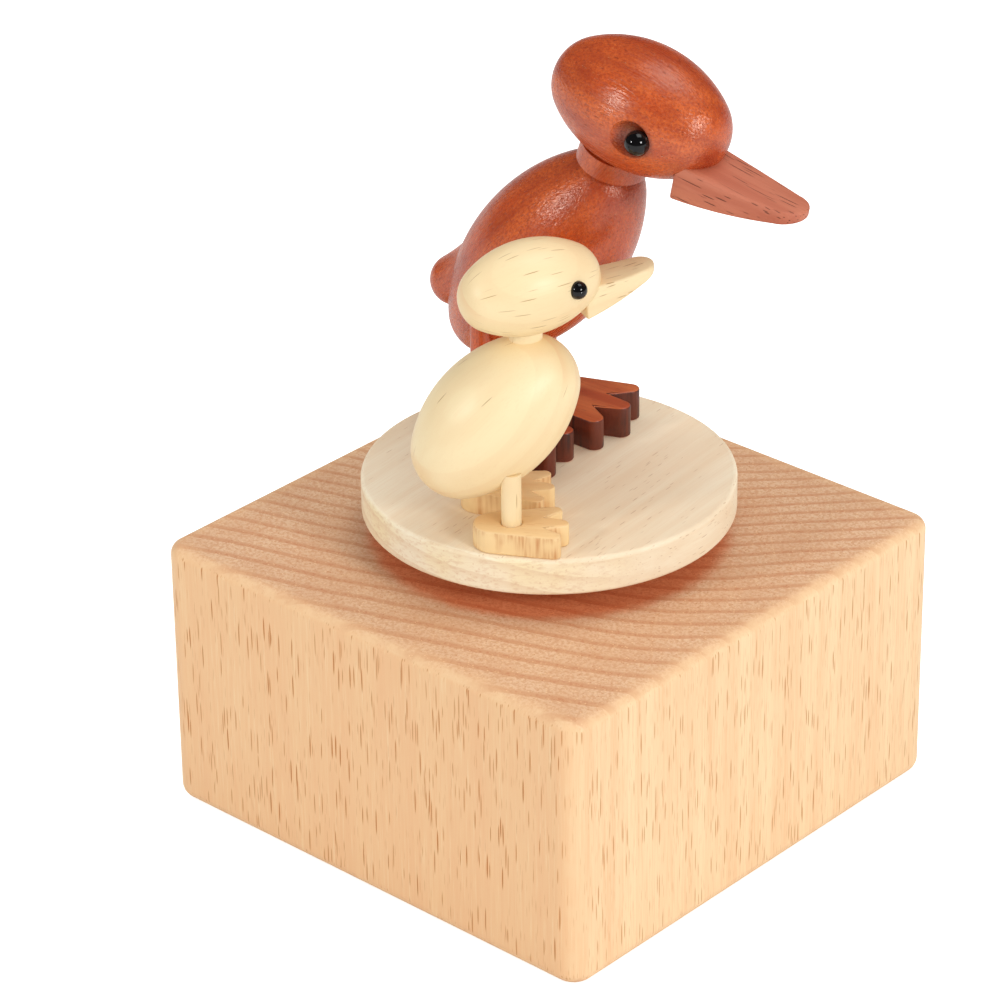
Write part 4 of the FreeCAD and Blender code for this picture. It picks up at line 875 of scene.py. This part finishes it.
# metals of the clockwork: fine tool marks, a little tarnish; marks are a depth in metres, drag their direction
metals = {
    "brightSteel": {
        "bright": (0.62, 0.62, 0.63), "tarnish": (0.40, 0.37, 0.34), "roughness": 0.3,
        "marks": 0.00002, "drag": (0.3, 6.0, 6.0),
        "nodes": ("bottom_plate_screws", "frame_screws", "spring_barrel", "barrel_rivets", "comb", "comb_screws",
                  "bearing_screw", "governor_screws", "winding_arbor", "arbor_ring", "cylinder_arbor",
                  "first_governor_arbor", "second_governor_arbor", "governor_worm", "governor_fly"),
    },
    "blueSteel": {
        "bright": (0.30, 0.33, 0.42), "tarnish": (0.22, 0.19, 0.17), "roughness": 0.28,
        "marks": 0.00001, "drag": (4.0, 4.0, 0.3), "nodes": ("mainspring", "clutch_spring"),
    },
    "brass": {
        "bright": (0.80, 0.60, 0.27), "tarnish": (0.52, 0.34, 0.14), "roughness": 0.26,
        "marks": 0.00002, "drag": (5.0, 5.0, 0.4),
        "nodes": ("music_cylinder", "cylinder_caps", "cylinder_gear", "crown_wheel", "first_governor_wheel",
                  "worm_wheel", "governor_frame", "cylinder_bearing"),
    },
    "castZinc": {
        "bright": (0.50, 0.51, 0.53), "tarnish": (0.34, 0.34, 0.35), "roughness": 0.5,
        "marks": 0.00006, "drag": (1.8, 1.8, 1.8), "nodes": ("movement_frame",),
    },
    "lead": {
        "bright": (0.30, 0.31, 0.33), "tarnish": (0.20, 0.20, 0.21), "roughness": 0.62,
        "marks": 0.00006, "drag": (2.5, 2.5, 2.5), "nodes": ("comb_weights",),
    },
}
metalWear = {
    "wear": (0.35, 4.0, 0.6),
    "stain": (0.9, 5.0, 0.7),
    "stainAt": (13, 5, 41),
    "coats": [("wear", 0.4, 0.75, 0.0, 0.7, "tarnish"), ("stain", 0.6, 0.8, 0.0, 0.35, "tarnish")],
    "toolMarks": (0.3, 0.7),
    "smoother": 0.06,
    "rougher": 0.08,
    "stainRoughness": (0.55, 0.8, 0.0, 0.15),
    "bumpStrength": 0.5,
}


def makeMetal(name, metal):
    want = metalWear
    material, tree, at, _ = startMaterial(name)
    lines = noise(tree, scaled(tree, at, metal["drag"]), detail=3.0, roughness=0.6)
    stain = noise(tree, vectorMaths(tree, "ADD", at, want["stainAt"]), *want["stain"])
    masks = {"wear": noise(tree, at, *want["wear"]), "stain": stain}
    colour = paint(tree, metal["bright"], masks, metal, want["coats"])
    rough = fade(tree, lines, *want["toolMarks"], metal["roughness"] - want["smoother"],
                 metal["roughness"] + want["rougher"])
    rough = plus(tree, rough, fade(tree, stain, *want["stainRoughness"]))
    return finishMaterial(material, colour, rough, lines, (metal["marks"], want["bumpStrength"]), Metallic=1.0)


# pieces with softened edges, made from a merged copy of the CAD node; angles are degrees
softEdges = {"merge": 1e-6, "flatBelow": 1.0, "sharpFrom": 35.0, "segments": 3, "shadeSharpFrom": 50}


def softCopy(name, width):
    want = softEdges
    source = nodes[name]
    mesh = bmesh.new()
    mesh.from_mesh(source.data)
    bmesh.ops.remove_doubles(mesh, verts=mesh.verts, dist=want["merge"])
    bmesh.ops.dissolve_limit(mesh, angle_limit=math.radians(want["flatBelow"]),
                             verts=mesh.verts, edges=mesh.edges)
    least = math.radians(want["sharpFrom"])
    sharp = [edge for edge in mesh.edges if edge.is_manifold and edge.calc_face_angle() > least]
    bmesh.ops.bevel(mesh, geom=sharp, offset=width, offset_type="OFFSET", affect="EDGES",
                    segments=want["segments"], profile=0.5, material=-1, clamp_overlap=True)
    data = bpy.data.meshes.new(name + "_soft")
    mesh.to_mesh(data)
    mesh.free()
    data.shade_smooth()
    data.set_sharp_from_angle(angle=math.radians(want["shadeSharpFrom"]))
    piece = bpy.data.objects.new(name + "_soft", data)
    bpy.context.scene.collection.objects.link(piece)
    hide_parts(name)
    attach(piece, source["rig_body"])
    return piece


def dressPiece(piece, material):
    piece.data.materials.clear()
    piece.data.materials.append(material)


# grain of each turned piece as heading and tilt, and bevels in metres
ducks = {
    "motherBody": (7.7, 51.4),
    "motherHead": (4.2, -11.6),
    "ducklingBody": (48.8, 44.7),
    "ducklingHead": (66.0, 4.7),
    "upright": (0.0, 90.0),
    "bodyDashes": 0.15,
    "headDashes": 0.95,
    "headTan": 0.35,
    "footEdge": 0.0003,
    "billEdge": 0.00035,
}


def dressDucks():
    want = ducks
    eyes = ("mother_left_eye", "mother_right_eye")
    dress(makeStainedWood("stainedBody", *want["motherBody"], "mother_body"), "mother_body")
    dress(makeStainedWood("stainedHead", *want["motherHead"], "mother_head", eyes), "mother_head")
    dress(makeStainedWood("stainedLeg", *want["upright"], "mother_left_leg"),
          "mother_left_leg", "mother_right_leg")
    dress(makePaleWood("paleBody", *want["ducklingBody"], "duckling_body", want["bodyDashes"], True),
          "duckling_body")
    dress(makePaleWood("paleHead", *want["ducklingHead"], "duckling_head", want["headDashes"], True,
                       want["headTan"]), "duckling_head")
    dress(makePaleWood("paleLeg", *want["upright"], "duckling_left_leg"), "duckling_left_leg",
          "duckling_right_leg", "mother_neck_dowel", "duckling_neck_dowel")
    dress(makeBead(), *eyes, "duckling_left_eye", "duckling_right_eye")
    dressPiece(softCopy("mother_bill", want["billEdge"]),
               makeBillWood("stainedBill", *want["motherHead"]))
    dressPiece(softCopy("duckling_bill", want["billEdge"]),
               makePaleWood("paleBill", *want["ducklingHead"], "duckling_bill"))
    redFoot = makeFootWood(motherFeet)
    paleFoot = makeFootWood(ducklingFeet)
    for side in ("left", "right"):
        dressPiece(softCopy(f"mother_{side}_foot", want["footEdge"]), redFoot)
        dressPiece(softCopy(f"duckling_{side}_foot", want["footEdge"]), paleFoot)


dress(makeBlockWood(), "wood_block")
dress(makeDiscWood(), "turntable_disc")
dress(makePostWood(), "turntable_post")
dress(makePlateWood(), "bottom_plate")
print("box dressed")
dressDucks()
print("ducks dressed")
for metalName, metal in metals.items():
    dress(makeMetal(metalName, metal), *metal["nodes"])
print("clockwork dressed")


# white floor that keeps the object's shadow, and soft studio light
studio = {
    "floorSize": 8.0,
    "floorGap": 0.00003,
    "floorWhite": (0.9, 0.9, 0.9),
    "floorGlow": 0.7,
    "worldStrength": 0.62,
    "reflectedStrength": 0.05,
    "lampsAimAt": (0, 0, 0.05),
    "lamps": {
        "rightLamp": {"azimuth": 82.0, "elevation": 26.0, "distance": 0.9, "size": 0.2, "power": 2.75},
        "leftLamp": {"azimuth": -16.0, "elevation": 26.0, "distance": 0.9, "size": 0.11, "power": 1.58},
        "topLamp": {"azimuth": 150.0, "elevation": 74.0, "distance": 0.9, "size": 0.5, "power": 1.98},
    },
}


def makeFloor():
    want = studio
    mesh = bmesh.new()
    bmesh.ops.create_grid(mesh, x_segments=1, y_segments=1, size=want["floorSize"] / 2)
    bmesh.ops.translate(mesh, verts=mesh.verts, vec=(0, 0, -want["floorGap"]))
    data = bpy.data.meshes.new("floor")
    mesh.to_mesh(data)
    mesh.free()
    floor = bpy.data.objects.new("floor", data)
    bpy.context.scene.collection.objects.link(floor)
    material = bpy.data.materials.new("floorWhite")
    material.use_nodes = True
    tree = material.node_tree
    tree.nodes.remove(tree.nodes["Principled BSDF"])
    paper = put(tree, "ShaderNodeBsdfDiffuse", Color=want["floorWhite"])
    seen = put(tree, "ShaderNodeLightPath").outputs["Is Camera Ray"]
    glow = put(tree, "ShaderNodeEmission", Color=(1, 1, 1), Strength=times(tree, seen, want["floorGlow"]))
    both = put(tree, "ShaderNodeAddShader")
    tree.links.new(paper.outputs[0], both.inputs[0])
    tree.links.new(glow.outputs[0], both.inputs[1])
    tree.links.new(both.outputs[0], tree.nodes["Material Output"].inputs["Surface"])
    data.materials.append(material)


# the world is white to the camera, and dimmer as a light and in reflections
def makeWorld():
    want = studio
    world = bpy.data.worlds.new("studioWhite")
    bpy.context.scene.world = world
    world.use_nodes = True
    tree = world.node_tree
    rays = put(tree, "ShaderNodeLightPath").outputs
    seen = times(tree, rays["Is Camera Ray"], 1 - want["worldStrength"])
    mirrored = times(tree, rays["Is Glossy Ray"], want["reflectedStrength"] - want["worldStrength"])
    strength = plus(tree, plus(tree, want["worldStrength"], seen), mirrored)
    background = tree.nodes["Background"]
    feed(tree, background.inputs["Color"], (1, 1, 1))
    feed(tree, background.inputs["Strength"], strength)


def makeLamp(name, want):
    back = directionOf(want["azimuth"], want["elevation"])
    data = bpy.data.lights.new(name, "AREA")
    data.energy = want["power"]
    data.size = want["size"]
    lamp = bpy.data.objects.new(name, data)
    bpy.context.scene.collection.objects.link(lamp)
    lamp.location = Vector(studio["lampsAimAt"]) + back * want["distance"]
    lamp.rotation_euler = (-back).to_track_quat("-Z", "Y").to_euler()


makeFloor()
makeWorld()
for lampName, lampValues in studio["lamps"].items():
    makeLamp(lampName, lampValues)
bpy.context.scene.view_settings.view_transform = "Standard"
print("studio made")
